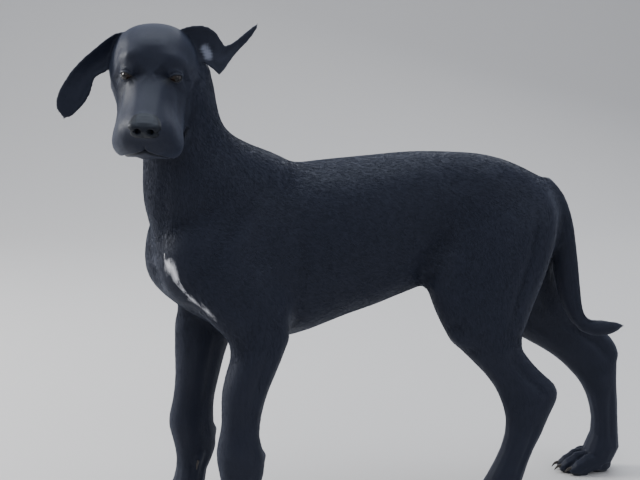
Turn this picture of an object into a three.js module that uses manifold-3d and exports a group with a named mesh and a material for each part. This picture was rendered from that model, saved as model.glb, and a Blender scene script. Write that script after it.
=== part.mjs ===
// A young Great Dane standing still, its head turned to its left, as a life-size model.
// Millimetres, +Z up. The dog faces -X, so its left side is -Y. All four paws stand on flats at one level.

import * as THREE from 'three';
import { mergeVertices } from 'three/addons/utils/BufferGeometryUtils.js';
import Module from 'manifold-3d';

const wasm = await Module();
wasm.setup();

// Driving sizes
const GAP = 0.35; // free space between neighbouring pieces
const LEFT = -1; // side of the dog, as the sign of Y
const RIGHT = 1;
const DEGREE = Math.PI / 180;
const BEND = { angle: 18 * DEGREE, front: 0, back: 220 }; // the front half of the spine turns to the left
const HEAD_AT = [-165.5, -145, 785]; // middle between the eyes
const HEAD_YAW = 8.5 * DEGREE; // from facing straight left, back towards the front of the body
const HEAD_PITCH = 28 * DEGREE;
const HEAD_ROLL = -3 * DEGREE;
const MOUTH = { gap: 1.3, depth: 7 }; // the line of the mouth
const EYE = { at: [2.2, 34, -4], radius: 11.5, out: 30 * DEGREE, up: 8 * DEGREE };

// Colours of the coat and the bare parts
const COAT = new THREE.MeshStandardMaterial({ name: 'coat', color: 0x23262e, roughness: 0.62, metalness: 0 });
const SKIN = new THREE.MeshStandardMaterial({ name: 'nose_skin', color: 0x101216, roughness: 0.4 });
const EYEBALL = new THREE.MeshStandardMaterial({ name: 'eye', color: 0x2a1a10, roughness: 0.12, metalness: 0 });

const vec = (p) => new THREE.Vector3(...p);
const ease = (t) => t * t * (3 - 2 * t);

// The bent spine: where a point of the straight dog comes to lie
const SPINE_STEP = 5;
function spineTable() {
  const rows = [{ x: BEND.back, y: 0, turn: 0 }];
  for (let s = BEND.back - SPINE_STEP; s >= BEND.front; s -= SPINE_STEP) {
    const turn = BEND.angle * (1 - ease((s - BEND.front) / (BEND.back - BEND.front)));
    const last = rows.at(-1);
    rows.push({ x: last.x - Math.cos(turn) * SPINE_STEP, y: last.y - Math.sin(turn) * SPINE_STEP, turn });
  }
  return rows;
}
const SPINE = spineTable();
function stand(point) {
  if (point.x >= BEND.back) return point.clone();
  const share = Math.min((BEND.back - point.x) / SPINE_STEP, SPINE.length - 1);
  const low = Math.min(Math.floor(share), SPINE.length - 2);
  const mix = (key) => THREE.MathUtils.lerp(SPINE[low][key], SPINE[low + 1][key], share - low);
  const turn = mix('turn');
  const ahead = Math.min(0, point.x - BEND.front);
  return new THREE.Vector3(
    mix('x') + ahead * Math.cos(turn) - point.y * Math.sin(turn),
    mix('y') + ahead * Math.sin(turn) + point.y * Math.cos(turn),
    point.z,
  );
}

// The head has axes of its own: X along the muzzle, Y to its left, Z up from the brow
const HEAD = new THREE.Matrix4()
  .makeTranslation(...HEAD_AT)
  .multiply(new THREE.Matrix4().makeRotationZ(-Math.PI / 2 - HEAD_YAW))
  .multiply(new THREE.Matrix4().makeRotationY(HEAD_PITCH))
  .multiply(new THREE.Matrix4().makeRotationX(HEAD_ROLL));
const onHead = (point) => point.clone().applyMatrix4(HEAD);

// Closed skin over rings of equal size, with a centre point closing each end
function skinOver(rings) {
  const sides = rings[0].length;
  const points = rings.flat();
  const faces = [];
  for (let r = 0; r + 1 < rings.length; r += 1) {
    for (let s = 0; s < sides; s += 1) {
      const a = r * sides + s;
      const b = r * sides + ((s + 1) % sides);
      faces.push(a, a + sides, b, b, a + sides, b + sides);
    }
  }
  [0, rings.length - 1].forEach((r) => {
    const middle = rings[r].reduce((sum, p) => sum.add(p), new THREE.Vector3()).divideScalar(sides);
    const tip = points.push(middle) - 1;
    for (let s = 0; s < sides; s += 1) {
      const a = r * sides + s;
      const b = r * sides + ((s + 1) % sides);
      faces.push(...(r === 0 ? [tip, a, b] : [tip, b, a]));
    }
  });
  const geometry = new THREE.BufferGeometry().setFromPoints(points);
  geometry.setIndex(faces);
  return geometry;
}

// Solid from a closed geometry, turned the right way out
function solidFrom(geometry) {
  const bare = new THREE.BufferGeometry();
  bare.setAttribute('position', geometry.getAttribute('position'));
  bare.setIndex(geometry.index);
  const merged = mergeVertices(bare, 1e-3);
  const vertProperties = merged.getAttribute('position').array;
  const triVerts = new Uint32Array(merged.index.array);
  const made = new wasm.Manifold(new wasm.Mesh({ numProp: 3, vertProperties, triVerts }));
  if (made.volume() >= 0) return made;
  return new wasm.Manifold(new wasm.Mesh({ numProp: 3, vertProperties, triVerts: triVerts.reverse() }));
}

// Geometry back from a solid
function geometryFrom(solid) {
  const mesh = solid.getMesh();
  const geometry = new THREE.BufferGeometry();
  geometry.setAttribute('position', new THREE.BufferAttribute(new Float32Array(mesh.vertProperties), 3));
  geometry.setIndex(new THREE.BufferAttribute(new Uint32Array(mesh.triVerts), 1));
  geometry.computeVertexNormals();
  return geometry;
}

const join = (solids) => solids.reduce((whole, piece) => whole.add(piece));
const cut = (solid, tools) => tools.reduce((rest, tool) => rest.subtract(tool), solid);
const common = (a, b) => a.intersect(b);
// The largest closed body of a solid, so that no loose scrap is kept
const largest = (solid) => solid.decompose().sort((a, b) => b.volume() - a.volume())[0];

// Everything on one side of a plane, as a block. `away` points out of the kept space.
function beyond(at, away, size = 900) {
  const box = new THREE.BoxGeometry(size, size, size).translate(0, 0, size / 2);
  const turn = new THREE.Quaternion().setFromUnitVectors(new THREE.Vector3(0, 0, 1), vec(away).normalize());
  return solidFrom(box.applyQuaternion(turn).translate(...at));
}

// A rib is a cross-section from point a (top or front) to point b (underside or back). It reaches `half` to
// each side, is widest at the share `wide` of the way from b to a, and is squarer as `square` grows past 2.
function rib(a, b, half, { wide = 0.5, square = 2, side = [0, 1, 0] } = {}) {
  return { a: vec(a), b: vec(b), half, wide, square, side: vec(side) };
}

// Evenly spread copies of a few ribs, smoothly blended from one to the next
function spread(ribs, count) {
  const reach = [0];
  ribs.slice(1).forEach((r, i) => {
    const before = ribs[i];
    const steps = [r.a.distanceTo(before.a), r.b.distanceTo(before.b)];
    reach.push(reach[i] + (steps[0] + steps[1]) / 2);
  });
  const pick = (i) => ribs[THREE.MathUtils.clamp(i, 0, ribs.length - 1)];
  const numbers = (r) => [...r.a, ...r.b, r.half, r.wide, r.square, ...r.side];
  return Array.from({ length: count }, (_, n) => {
    const at = (reach.at(-1) * n) / (count - 1);
    const i = Math.max(0, Math.min(reach.length - 2, reach.findIndex((v) => v >= at) - 1));
    const span = reach[i + 1] - reach[i];
    const t = (at - reach[i]) / span;
    const slope = (k, j) => {
      const [p, q] = [Math.max(0, k - 1), Math.min(ribs.length - 1, k + 1)];
      return ((numbers(pick(q))[j] - numbers(pick(p))[j]) / (reach[q] - reach[p])) * span;
    };
    const v = numbers(pick(i)).map((from, j) => {
      const to = numbers(pick(i + 1))[j];
      return from * (1 + 2 * t) * (1 - t) ** 2 + slope(i, j) * t * (1 - t) ** 2
        + to * t * t * (3 - 2 * t) + slope(i + 1, j) * t * t * (t - 1);
    });
    return rib(v.slice(0, 3), v.slice(3, 6), v[6], { wide: v[7], square: v[8], side: v.slice(9, 12) });
  });
}

// Points round one rib. `grow` moves them outwards.
function ringOf(r, sides, grow = 0) {
  const span = r.a.clone().sub(r.b);
  const along = span.clone().normalize();
  const side = r.side.clone().addScaledVector(along, -r.side.dot(along)).normalize();
  const middle = r.b.clone().addScaledVector(span, r.wide);
  const up = span.length() * (1 - r.wide) + grow;
  const down = span.length() * r.wide + grow;
  const bulge = (t) => Math.sign(t) * Math.abs(t) ** (2 / r.square);
  return Array.from({ length: sides }, (_, i) => {
    const angle = (2 * Math.PI * i) / sides;
    const c = bulge(Math.cos(angle));
    const s = bulge(Math.sin(angle));
    const point = middle.clone().addScaledVector(along, c * (c > 0 ? up : down));
    return point.addScaledVector(side, s * (r.half + grow));
  });
}

// Muscles and bones that show are soft swellings: each has a place, a reach along X, Y and Z, and a rise
function swell(point, middle, swellings) {
  const out = point.clone().sub(middle).normalize();
  const rise = swellings.reduce((sum, { at, reach, rise: height }) => {
    const away = (point.x - at[0]) ** 2 / reach[0] ** 2 + (point.y - at[1]) ** 2 / reach[1] ** 2
      + (point.z - at[2]) ** 2 / reach[2] ** 2;
    return sum + height * Math.exp(-away);
  }, 0);
  return point.clone().addScaledVector(out, rise);
}
const bothSides = (list) => list.flatMap((s) => [s, { ...s, at: [s.at[0], -s.at[1], s.at[2]] }]);

// Solid skinned over ribs
function loft(ribs, { rows, sides, swellings = [], grow = 0, pose = stand }) {
  const rings = spread(ribs, rows).map((r) => {
    const middle = r.a.clone().add(r.b).multiplyScalar(0.5);
    return ringOf(r, sides, grow).map((p) => pose(swell(p, middle, swellings)));
  });
  return solidFrom(skinOver(rings));
}

// Trunk: the ribs run from the breast to the seat. top and low are heights, half is half the breadth.
const TRUNK = [
  { x: -178, top: 512, low: 462, half: 26 },
  { x: -173, top: 537, low: 440, half: 54 },
  { x: -153, top: 562, low: 412, half: 76 },
  { x: -100, top: 592, low: 374, half: 86 },
  { x: -40, top: 615, low: 338, half: 90 },
  { x: 25, top: 624, low: 325, half: 92 },
  { x: 85, top: 622, low: 332, half: 96 },
  { x: 150, top: 626, low: 352, half: 98 },
  { x: 215, top: 631, low: 372, half: 92 },
  { x: 280, top: 636, low: 396, half: 80 },
  { x: 345, top: 635, low: 416, half: 72 },
  { x: 400, top: 631, low: 426, half: 70 },
  { x: 450, top: 618, low: 430, half: 68 },
  { x: 495, top: 597, low: 436, half: 58 },
  { x: 528, top: 575, low: 452, half: 40 },
  { x: 546, top: 552, low: 480, half: 20 },
];
const TRUNK_SWELLINGS = bothSides([
  { at: [-150, 70, 470], reach: [40, 30, 40], rise: 6 },
  { at: [300, 70, 470], reach: [50, 40, 60], rise: -8 },
]);

// Neck: ribs from nape to throat, in the axes of the straight dog, turning to the left towards the head
const NECK = [
  { nape: [110, 0, 565], throat: [-110, 0, 400], half: 72 },
  { nape: [72, 0, 622], throat: [-158, 0, 462], half: 80 },
  { nape: [20, 0, 646], throat: [-182, 0, 532], half: 77 },
  { nape: [-27, 4, 668], throat: [-192, -6, 592], half: 69 },
  { nape: [-58, 18, 690], throat: [-190, -20, 642], half: 61 },
  { nape: [-72, 36, 728], throat: [-188, -40, 690], half: 54 },
  { nape: [-82, 46, 770], throat: [-180, -50, 738], half: 51 },
  { nape: [-110, 34, 802], throat: [-168, -50, 770], half: 38 },
];

// Head and muzzle: f along the muzzle, from the back of the skull to the lips
const SKULL = [
  { f: -120, top: 6, low: -14, half: 16, wide: 0.5, square: 2.1 },
  { f: -111, top: 19, low: -36, half: 37, wide: 0.5, square: 2.1 },
  { f: -92, top: 30, low: -62, half: 56, wide: 0.5, square: 2.35 },
  { f: -64, top: 41.5, low: -78, half: 65, wide: 0.44, square: 2.35 },
  { f: -34, top: 45.5, low: -86, half: 65, wide: 0.38, square: 2.4 },
  { f: -12, top: 41, low: -90, half: 60.5, wide: 0.33, square: 2.4 },
  { f: 6, top: 26, low: -94, half: 55.5, wide: 0.29, square: 2.3 },
  { f: 24, top: 6.5, low: -99, half: 52, wide: 0.28, square: 2.3 },
  { f: 48, top: -1, low: -102, half: 51, wide: 0.28, square: 2.25 },
  { f: 74, top: -5, low: -101, half: 51, wide: 0.29, square: 2.25 },
  { f: 98, top: -10, low: -89, half: 45, wide: 0.33, square: 2.3 },
  { f: 112, top: -18, low: -76, half: 34, wide: 0.42, square: 2.3 },
  { f: 118, top: -30, low: -62, half: 19, wide: 0.5, square: 2.2 },
];
const SKULL_SWELLINGS = bothSides([
  { at: [-5, 34, 21], reach: [16, 15, 9], rise: 6 },
  { at: [13, 39, -6], reach: [13, 12, 9], rise: -3 },
  { at: [-47, 66, -28], reach: [30, 22, 30], rise: 3 },
  { at: [6, 0, 22], reach: [22, 9, 26], rise: -3 },
  { at: [66, 38, -14], reach: [34, 14, 16], rise: -4 },
  { at: [78, 38, -100], reach: [28, 18, 22], rise: 14 },
]);
const JAW = [
  { f: -50, top: -40, low: -78, half: 24, wide: 0.5, square: 2.2 },
  { f: 5, top: -60, low: -97, half: 27, wide: 0.5, square: 2.3 },
  { f: 55, top: -70, low: -104, half: 28, wide: 0.5, square: 2.4 },
  { f: 88, top: -66, low: -99, half: 26, wide: 0.5, square: 2.4 },
  { f: 105, top: -64, low: -87, half: 18, wide: 0.5, square: 2.2 },
];
const headRibs = (rows) => rows.map(({ f, top, low, half, wide, square }) => (
  rib([f, 0, top], [f, 0, low], half, { wide, square })
));

// Limbs: a rib from front [x, z] to back [x, z], its half breadth and its distance from the middle plane
function limbRibs(rows, side, square = 2.2) {
  return rows.map(([front, back, half, out]) => (
    rib([front[0], out * side, front[1]], [back[0], out * side, back[1]], half, { square })
  ));
}

// Shoulder blade and upper arm
const SHOULDER = [
  [[-45, 600], [15, 600], 12, 44],
  [[-90, 568], [30, 568], 22, 54],
  [[-126, 520], [28, 525], 31, 58],
  [[-150, 468], [22, 478], 38, 58],
  [[-142, 420], [30, 430], 39, 61],
  [[-108, 380], [38, 395], 38, 66],
  [[-75, 345], [30, 355], 35, 71],
  [[-75, 318], [18, 325], 32, 74],
];
// Foreleg below the elbow: height, front and back for each side, half breadth
const FORELEG = [
  { z: 384, [LEFT]: [-70, 10], [RIGHT]: [-106, -10], half: 24 },
  { z: 350, [LEFT]: [-66, 26], [RIGHT]: [-114, 2], half: 33 },
  { z: 315, [LEFT]: [-76, 12], [RIGHT]: [-113, -12], half: 34 },
  { z: 285, [LEFT]: [-86, -1], [RIGHT]: [-113, -24], half: 32 },
  { z: 255, [LEFT]: [-92, -14], [RIGHT]: [-113, -32], half: 30 },
  { z: 225, [LEFT]: [-92, -22], [RIGHT]: [-116, -40], half: 28 },
  { z: 198, [LEFT]: [-93, -27], [RIGHT]: [-121, -45], half: 28 },
  { z: 176, [LEFT]: [-98, -27], [RIGHT]: [-126, -46], half: 31 },
  { z: 155, [LEFT]: [-102, -20], [RIGHT]: [-125, -45], half: 33 },
  { z: 132, [LEFT]: [-98, -18], [RIGHT]: [-118, -42], half: 31 },
  { z: 108, [LEFT]: [-94, -22], [RIGHT]: [-114, -44], half: 28 },
  { z: 86, [LEFT]: [-92, -34], [RIGHT]: [-113, -58], half: 27 },
  { z: 60, [LEFT]: [-96, -42], [RIGHT]: [-118, -64], half: 30 },
  { z: 38, [LEFT]: [-108, -42], [RIGHT]: [-132, -64], half: 32 },
  { z: 20, [LEFT]: [-104, -46], [RIGHT]: [-128, -68], half: 28 },
];
const FORELEG_OUT = 76;
const forelegRibs = (side) => limbRibs(
  FORELEG.map((row) => [[row[side][0], row.z], [row[side][1], row.z], row.half, FORELEG_OUT]), side,
);

// Hind legs, hip to pastern
const HINDLEG = {
  [LEFT]: [
    [[370, 590], [490, 590], 12, 36],
    [[325, 535], [528, 540], 34, 44],
    [[302, 470], [527, 485], 43, 47],
    [[296, 425], [512, 440], 46, 51],
    [[304, 388], [495, 400], 45, 57],
    [[318, 352], [480, 368], 42, 63],
    [[336, 322], [470, 340], 37, 69],
    [[362, 296], [462, 314], 31, 72],
    [[390, 269], [472, 288], 27, 74],
    [[414, 240], [496, 260], 25, 75],
    [[430, 208], [534, 224], 25, 76],
    [[440, 176], [519, 184], 26, 76],
    [[440, 150], [508, 155], 25, 77],
    [[432, 118], [490, 118], 24, 78],
    [[418, 88], [478, 84], 24, 79],
    [[402, 58], [468, 52], 28, 80],
    [[390, 36], [456, 34], 31, 80],
    [[392, 20], [450, 18], 28, 80],
  ],
  [RIGHT]: [
    [[380, 590], [495, 590], 12, 36],
    [[350, 535], [530, 540], 34, 44],
    [[348, 468], [543, 482], 43, 47],
    [[365, 415], [556, 436], 46, 53],
    [[400, 362], [572, 396], 42, 61],
    [[445, 318], [590, 368], 36, 70],
    [[495, 286], [612, 336], 30, 76],
    [[545, 258], [645, 302], 26, 80],
    [[592, 226], [682, 276], 25, 83],
    [[626, 192], [704, 246], 26, 85],
    [[645, 164], [705, 196], 26, 86],
    [[657, 135], [710, 150], 25, 87],
    [[664, 102], [714, 106], 24, 88],
    [[662, 70], [718, 68], 25, 89],
    [[650, 42], [720, 42], 30, 90],
    [[646, 22], [708, 22], 29, 90],
  ],
};

// Paws: where the heel of the pad stands, which way the toes point
const PAWS = {
  forepaw_left: { at: [-42, -76], turn: 0, length: 96, width: 74 },
  forepaw_right: { at: [-64, 76], turn: 0, length: 96, width: 74 },
  hindpaw_left: { at: [462, -80], turn: 4 * DEGREE, length: 104, width: 66 },
  hindpaw_right: { at: [712, 90], turn: -3 * DEGREE, length: 110, width: 66 },
};
// Toes: share of the half width where each starts and ends, and how far forward it reaches
const TOES = [
  { from: -0.62, to: -0.74, reach: 0.84 },
  { from: -0.24, to: -0.26, reach: 0.98 },
  { from: 0.24, to: 0.26, reach: 0.98 },
  { from: 0.62, to: 0.74, reach: 0.84 },
];

function paw({ at, turn, length, width }) {
  const place = new THREE.Matrix4().makeTranslation(at[0], at[1], 0)
    .multiply(new THREE.Matrix4().makeRotationZ(Math.PI + turn));
  const pose = (p) => stand(p.clone().applyMatrix4(place));
  const half = width / 2;
  const toe = ({ from, to, reach }) => {
    const tip = length * reach;
    const y = (share) => THREE.MathUtils.lerp(from, to, share) * half;
    const ribs = [
      rib([tip - 66, y(0), 42], [tip - 60, y(0), 8], 9),
      rib([tip - 44, y(0.3), 44], [tip - 44, y(0.3), 4], 10.5),
      rib([tip - 26, y(0.6), 37], [tip - 30, y(0.6), -3], 11),
      rib([tip - 10, y(0.9), 25], [tip - 14, y(0.9), -3], 10.5),
      rib([tip - 1, y(1), 15], [tip - 2, y(1), 3], 6.5),
    ];
    const claw = [
      rib([tip - 12, y(0.9), 19], [tip - 12, y(0.9), 10], 3.4),
      rib([tip + 1, y(1), 16.5], [tip - 1, y(1), 8], 3.2),
      rib([tip + 9, y(1.02), 9], [tip + 7, y(1.02), 4], 2.2),
      rib([tip + 12.5, y(1.03), 3.4], [tip + 11.5, y(1.03), 1.6], 0.9),
    ];
    return [loft(ribs, { rows: 5, sides: 7, pose }), loft(claw, { rows: 4, sides: 4, pose })];
  };
  const pad = [
    rib([6, 0, 22], [8, 0, 4], half * 0.4),
    rib([20, 0, 34], [18, 0, -3], half * 0.68),
    rib([36, 0, 40], [36, 0, -3], half * 0.78),
    rib([56, 0, 38], [52, 0, 2], half * 0.6),
  ];
  return join([loft(pad, { rows: 5, sides: 12, pose }), ...TOES.flatMap(toe)]);
}

// Tail: front and back of each rib
const TAIL = [
  [[488, 560], [525, 590], 16],
  [[515, 536], [553, 558], 20],
  [[528, 505], [571, 512], 21],
  [[535, 470], [579, 472], 22],
  [[541, 430], [586, 430], 21],
  [[548, 392], [592, 388], 20],
  [[557, 362], [598, 352], 18],
  [[572, 334], [607, 330], 16],
  [[594, 308], [622, 325], 15],
  [[622, 296], [638, 326], 14],
  [[650, 297], [654, 322], 11],
  [[674, 306], [672, 320], 6],
];

// Eyelids: an arc over the eyeball from corner to corner
function eyeFrame(side) {
  const left = -side;
  const ahead = Math.cos(EYE.out) * Math.cos(EYE.up);
  const look = vec([ahead, left * Math.sin(EYE.out), Math.sin(EYE.up)]).normalize();
  const across = new THREE.Vector3(0, 0, 1).cross(look).normalize();
  const up = look.clone().cross(across);
  const centre = new THREE.Vector3(EYE.at[0], left * EYE.at[1], EYE.at[2]);
  return { look, across, up, centre };
}
function lid(side, rise, thick) {
  const { look, across, up, centre } = eyeFrame(side);
  const ribs = Array.from({ length: 7 }, (_, i) => {
    const share = (i - 3) / 3;
    const a = share * 62 * DEGREE;
    const e = rise * Math.cos(share * 90 * DEGREE) * DEGREE;
    const out = look.clone().multiplyScalar(Math.cos(a) * Math.cos(e))
      .addScaledVector(across, Math.sin(a) * Math.cos(e)).addScaledVector(up, Math.sin(e));
    const point = centre.clone().addScaledVector(out, EYE.radius + 0.6);
    const r = thick * (1 - 0.35 * share * share);
    const away = out.clone().multiplyScalar(r);
    return rib([...point.clone().add(away)], [...point.clone().sub(away)], r, { side: [...up] });
  });
  return loft(ribs, { rows: 8, sides: 6, pose: onHead });
}
function eyeball(side, grow = 0) {
  const { centre } = eyeFrame(side);
  const ball = new THREE.SphereGeometry(EYE.radius + grow, 12, 9).translate(...centre);
  return solidFrom(ball.applyMatrix4(HEAD));
}

// An ear is a leaf: rows across it from one edge to the other, with a thickness and the depth of its cup
function leaf(rows, { count, cup, thick, facing }) {
  const ribs = rows.map(([a, b]) => rib(a, b, thick));
  const across = 6;
  const rings = spread(ribs, count).map((r, n) => {
    const share = n / (count - 1);
    const along = r.a.clone().sub(r.b);
    const out = vec(facing(share)).normalize();
    const face = (t, sign) => {
      const hollow = cup(share) * (1 - (2 * t - 1) ** 2);
      const body = r.half * Math.sqrt(Math.max(0.08, 1 - (2 * t - 1) ** 2)) * sign;
      return r.b.clone().addScaledVector(along, t).addScaledVector(out, body - hollow);
    };
    const up = Array.from({ length: across }, (_, i) => face(i / (across - 1), 1));
    const down = Array.from({ length: across }, (_, i) => face(1 - i / (across - 1), -1));
    return [...up, ...down];
  });
  return solidFrom(skinOver(rings));
}
const EAR_RIGHT = [
  [[-196, -84, 842], [-204, -84, 796]],
  [[-214, -88, 842], [-224, -88, 793]],
  [[-234, -92, 830], [-233, -92, 781]],
  [[-252, -96, 815], [-250, -96, 774]],
  [[-272, -100, 799], [-255, -100, 760]],
  [[-288, -104, 781], [-259, -104, 748]],
  [[-302, -108, 760], [-267, -108, 735]],
  [[-310, -110, 741], [-277, -110, 724]],
  [[-308, -110, 723], [-290, -110, 714]],
  [[-302, -110, 715], [-296, -110, 712]],
];
const EAR_LEFT = [
  [[-118, -100, 848], [-106, -100, 802]],
  [[-103, -100, 852], [-91, -100, 797]],
  [[-81, -98, 853], [-73, -98, 790]],
  [[-62, -90, 842], [-57, -90, 775]],
  [[-48, -75, 820], [-42, -75, 792]],
  [[-31, -62, 825], [-27, -62, 809]],
  [[-11, -55, 840], [-7, -55, 828]],
  [[5, -50, 851], [7, -50, 848]],
];

// Forms of the whole dog, still overlapping
const trunkLoft = () => loft(TRUNK.map(({ x, top, low, half }) => (
  rib([x, 0, top], [x, 0, low], half, { wide: 0.55, square: 2.2 })
)), { rows: 26, sides: 22, swellings: TRUNK_SWELLINGS });
const neckRibs = NECK.map(({ nape, throat, half }) => rib(nape, throat, half));
const neckLoft = () => loft(neckRibs, { rows: 14, sides: 18 });
const shoulderLoft = (side, grow = 0) => loft(limbRibs(SHOULDER, side), { rows: 11, sides: 14, grow });
const forelegLoft = (side, grow = 0) => loft(forelegRibs(side), { rows: 19, sides: 12, grow });
const hindlegLoft = (side, grow = 0) => loft(limbRibs(HINDLEG[side], side), { rows: 24, sides: 14, grow });
const tailRibs = TAIL.map(([front, back, half]) => rib([front[0], 0, front[1]], [back[0], 0, back[1]], half));
const tailLoft = (grow = 0) => loft(tailRibs, { rows: 18, sides: 12, grow });
const skullOptions = { rows: 23, sides: 22, swellings: SKULL_SWELLINGS, pose: onHead };
const skullLoft = (grow = 0) => loft(headRibs(SKULL), { ...skullOptions, grow });
const jawLoft = (grow = 0) => loft(headRibs(JAW), { rows: 8, sides: 12, grow, pose: onHead });
const noseLoft = (grow = 0) => loft([
  rib([97, 0, -8], [100, 0, -40], 20, { wide: 0.6, square: 2.6 }),
  rib([110, 0, -10], [110, 0, -41], 24, { wide: 0.62, square: 2.6 }),
  rib([121, 0, -14], [118, 0, -39], 22.5, { wide: 0.62, square: 2.6 }),
  rib([127, 0, -21], [122, 0, -34], 13, { wide: 0.6, square: 2.4 }),
], { rows: 6, sides: 14, grow, pose: onHead });

// A nostril opens forwards and curls out to the side; the philtrum is the furrow below the nose
const nostril = (side) => loft([
  rib([129, -side * 9, -17], [129, -side * 9, -29], 5.5),
  rib([122, -side * 9, -19], [122, -side * 9, -28], 4.5),
  rib([117, -side * 12, -20], [117, -side * 12, -27], 3.2),
  rib([113, -side * 18, -25], [113, -side * 18, -30], 2.4),
  rib([114, -side * 26, -27], [114, -side * 26, -31], 1.8),
], { rows: 5, sides: 6, pose: onHead });
const philtrum = () => loft([
  rib([132, 0, -30], [121, 0, -30], 1.1, { square: 2 }),
  rib([127, 0, -43], [115.5, 0, -43], 1.3, { square: 2 }),
  rib([125, 0, -57], [116.5, 0, -57], 1, { square: 2 }),
], { rows: 4, sides: 6, pose: onHead });

// Flesh of the trunk that belongs to a limb: an outline seen from the side, from its inner face outwards
function flank(outline, side, inner, grow = 0) {
  const points = outline.map(([x, z]) => new THREE.Vector3(x, z, 0));
  const curve = new THREE.CatmullRomCurve3(points, true, 'centripetal');
  const centre = points.reduce((sum, p) => sum.addScaledVector(p, 1 / points.length), new THREE.Vector3());
  const shape = new THREE.Shape(curve.getPoints(26).slice(0, -1).map(({ x, y }) => {
    const out = new THREE.Vector2(x - centre.x, y - centre.y);
    return new THREE.Vector2(x, y).add(out.normalize().multiplyScalar(grow));
  }));
  const block = new THREE.ExtrudeGeometry(shape, { depth: 90 + grow, steps: 1, bevelEnabled: false });
  block.rotateX(Math.PI / 2);
  if (side === LEFT) block.translate(0, -inner + grow, 0);
  else block.translate(0, inner + 90, 0);
  const position = block.getAttribute('position');
  for (let i = 0; i < position.count; i += 1) {
    position.setXYZ(i, ...stand(new THREE.Vector3().fromBufferAttribute(position, i)));
  }
  const bare = new THREE.BufferGeometry().setAttribute('position', position);
  return solidFrom(mergeVertices(bare, 1e-3));
}
const SHOULDER_EDGE = {
  inner: 34,
  outline: [[-25, 606], [22, 586], [46, 530], [56, 470], [62, 410], [58, 350], [20, 318], [-70, 320],
    [-130, 360], [-166, 404], [-182, 450], [-180, 500], [-150, 546], [-100, 582]],
};
const THIGH_EDGE = {
  inner: 34,
  outline: [[292, 480], [310, 535], [350, 572], [410, 594], [470, 592], [520, 570], [552, 528], [560, 470],
    [548, 400], [500, 340], [400, 310], [300, 372], [284, 425]],
};

// Planes between pieces, each as [point on it, direction out of the kept half]
const front = (x, y, z) => stand(new THREE.Vector3(x, y, z)).toArray();
const aside = (x, z) => {
  const start = stand(new THREE.Vector3(-100, 0, 0));
  return stand(new THREE.Vector3(x - 100, 0, z)).sub(start).toArray();
};
const NECK_FROM_TRUNK = [front(-45, 0, 545), aside(-0.62, 0.79)];
const both = ([at, away], gap = GAP) => {
  const n = vec(away).normalize();
  const kept = vec(at).addScaledVector(n, -gap / 2);
  const rest = vec(at).addScaledVector(n, gap / 2);
  return {
    below: beyond(kept.toArray(), n.toArray()),
    above: beyond(rest.toArray(), n.clone().negate().toArray()),
  };
};

// Trunk and neck
const neckCut = both(NECK_FROM_TRUNK);
const torsoForm = join([trunkLoft(), neckLoft()]);
const headForm = join([skullLoft(), jawLoft()]);
const limbs = [LEFT, RIGHT].map((side) => {
  const part = (edge, grow) => flank(edge.outline, side, edge.inner, grow);
  return {
    side,
    name: side === LEFT ? 'left' : 'right',
    arm: join([shoulderLoft(side), forelegLoft(side), common(torsoForm, part(SHOULDER_EDGE, 0))]),
    leg: join([hindlegLoft(side), common(torsoForm, part(THIGH_EDGE, 0))]),
    armSpace: [shoulderLoft(side, GAP), forelegLoft(side, GAP), part(SHOULDER_EDGE, GAP)],
    legSpace: [hindlegLoft(side, GAP), part(THIGH_EDGE, GAP)],
  };
});
const limbSpaces = limbs.flatMap(({ armSpace, legSpace }) => [...armSpace, ...legSpace]);

const dog = new THREE.Group();
function add(name, solid, material = COAT) {
  const mesh = new THREE.Mesh(geometryFrom(largest(solid)), material);
  mesh.name = name;
  dog.add(mesh);
}

add('torso', cut(torsoForm, [neckCut.below, tailLoft(GAP), ...limbSpaces]));
add('neck', cut(torsoForm, [neckCut.above, skullLoft(GAP), jawLoft(GAP), ...limbSpaces]));

// Head with its lids, the sockets of the eyes, the seat of the nose and the line of the mouth
const lids = [LEFT, RIGHT].flatMap((side) => [lid(side, 38, 3.4), lid(side, -33, 2.6)]);
const seats = [eyeball(LEFT, GAP), eyeball(RIGHT, GAP), noseLoft(GAP)];
const mouthLine = cut(jawLoft(MOUTH.gap), [jawLoft(), skullLoft(-MOUTH.depth)]);
add('head', cut(join([headForm, ...lids]), [...seats, mouthLine, philtrum()]));
add('nose', cut(noseLoft(), [nostril(LEFT), nostril(RIGHT), philtrum()]), SKIN);
add('eye_left', eyeball(LEFT), EYEBALL);
add('eye_right', eyeball(RIGHT), EYEBALL);
const rightEar = { count: 14, thick: 3, cup: (s) => 12 * (1 - s), facing: () => [0, -1, 0.1] };
const leftEar = { count: 12, thick: 3, cup: (s) => 10 * (1 - s), facing: () => [0.2, -1, 0.1] };
const aroundEars = [skullLoft(GAP), cut(torsoForm, [neckCut.above])];
add('ear_right', cut(leaf(EAR_RIGHT, rightEar), aroundEars));
add('ear_left', cut(leaf(EAR_LEFT, leftEar), aroundEars));

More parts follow.
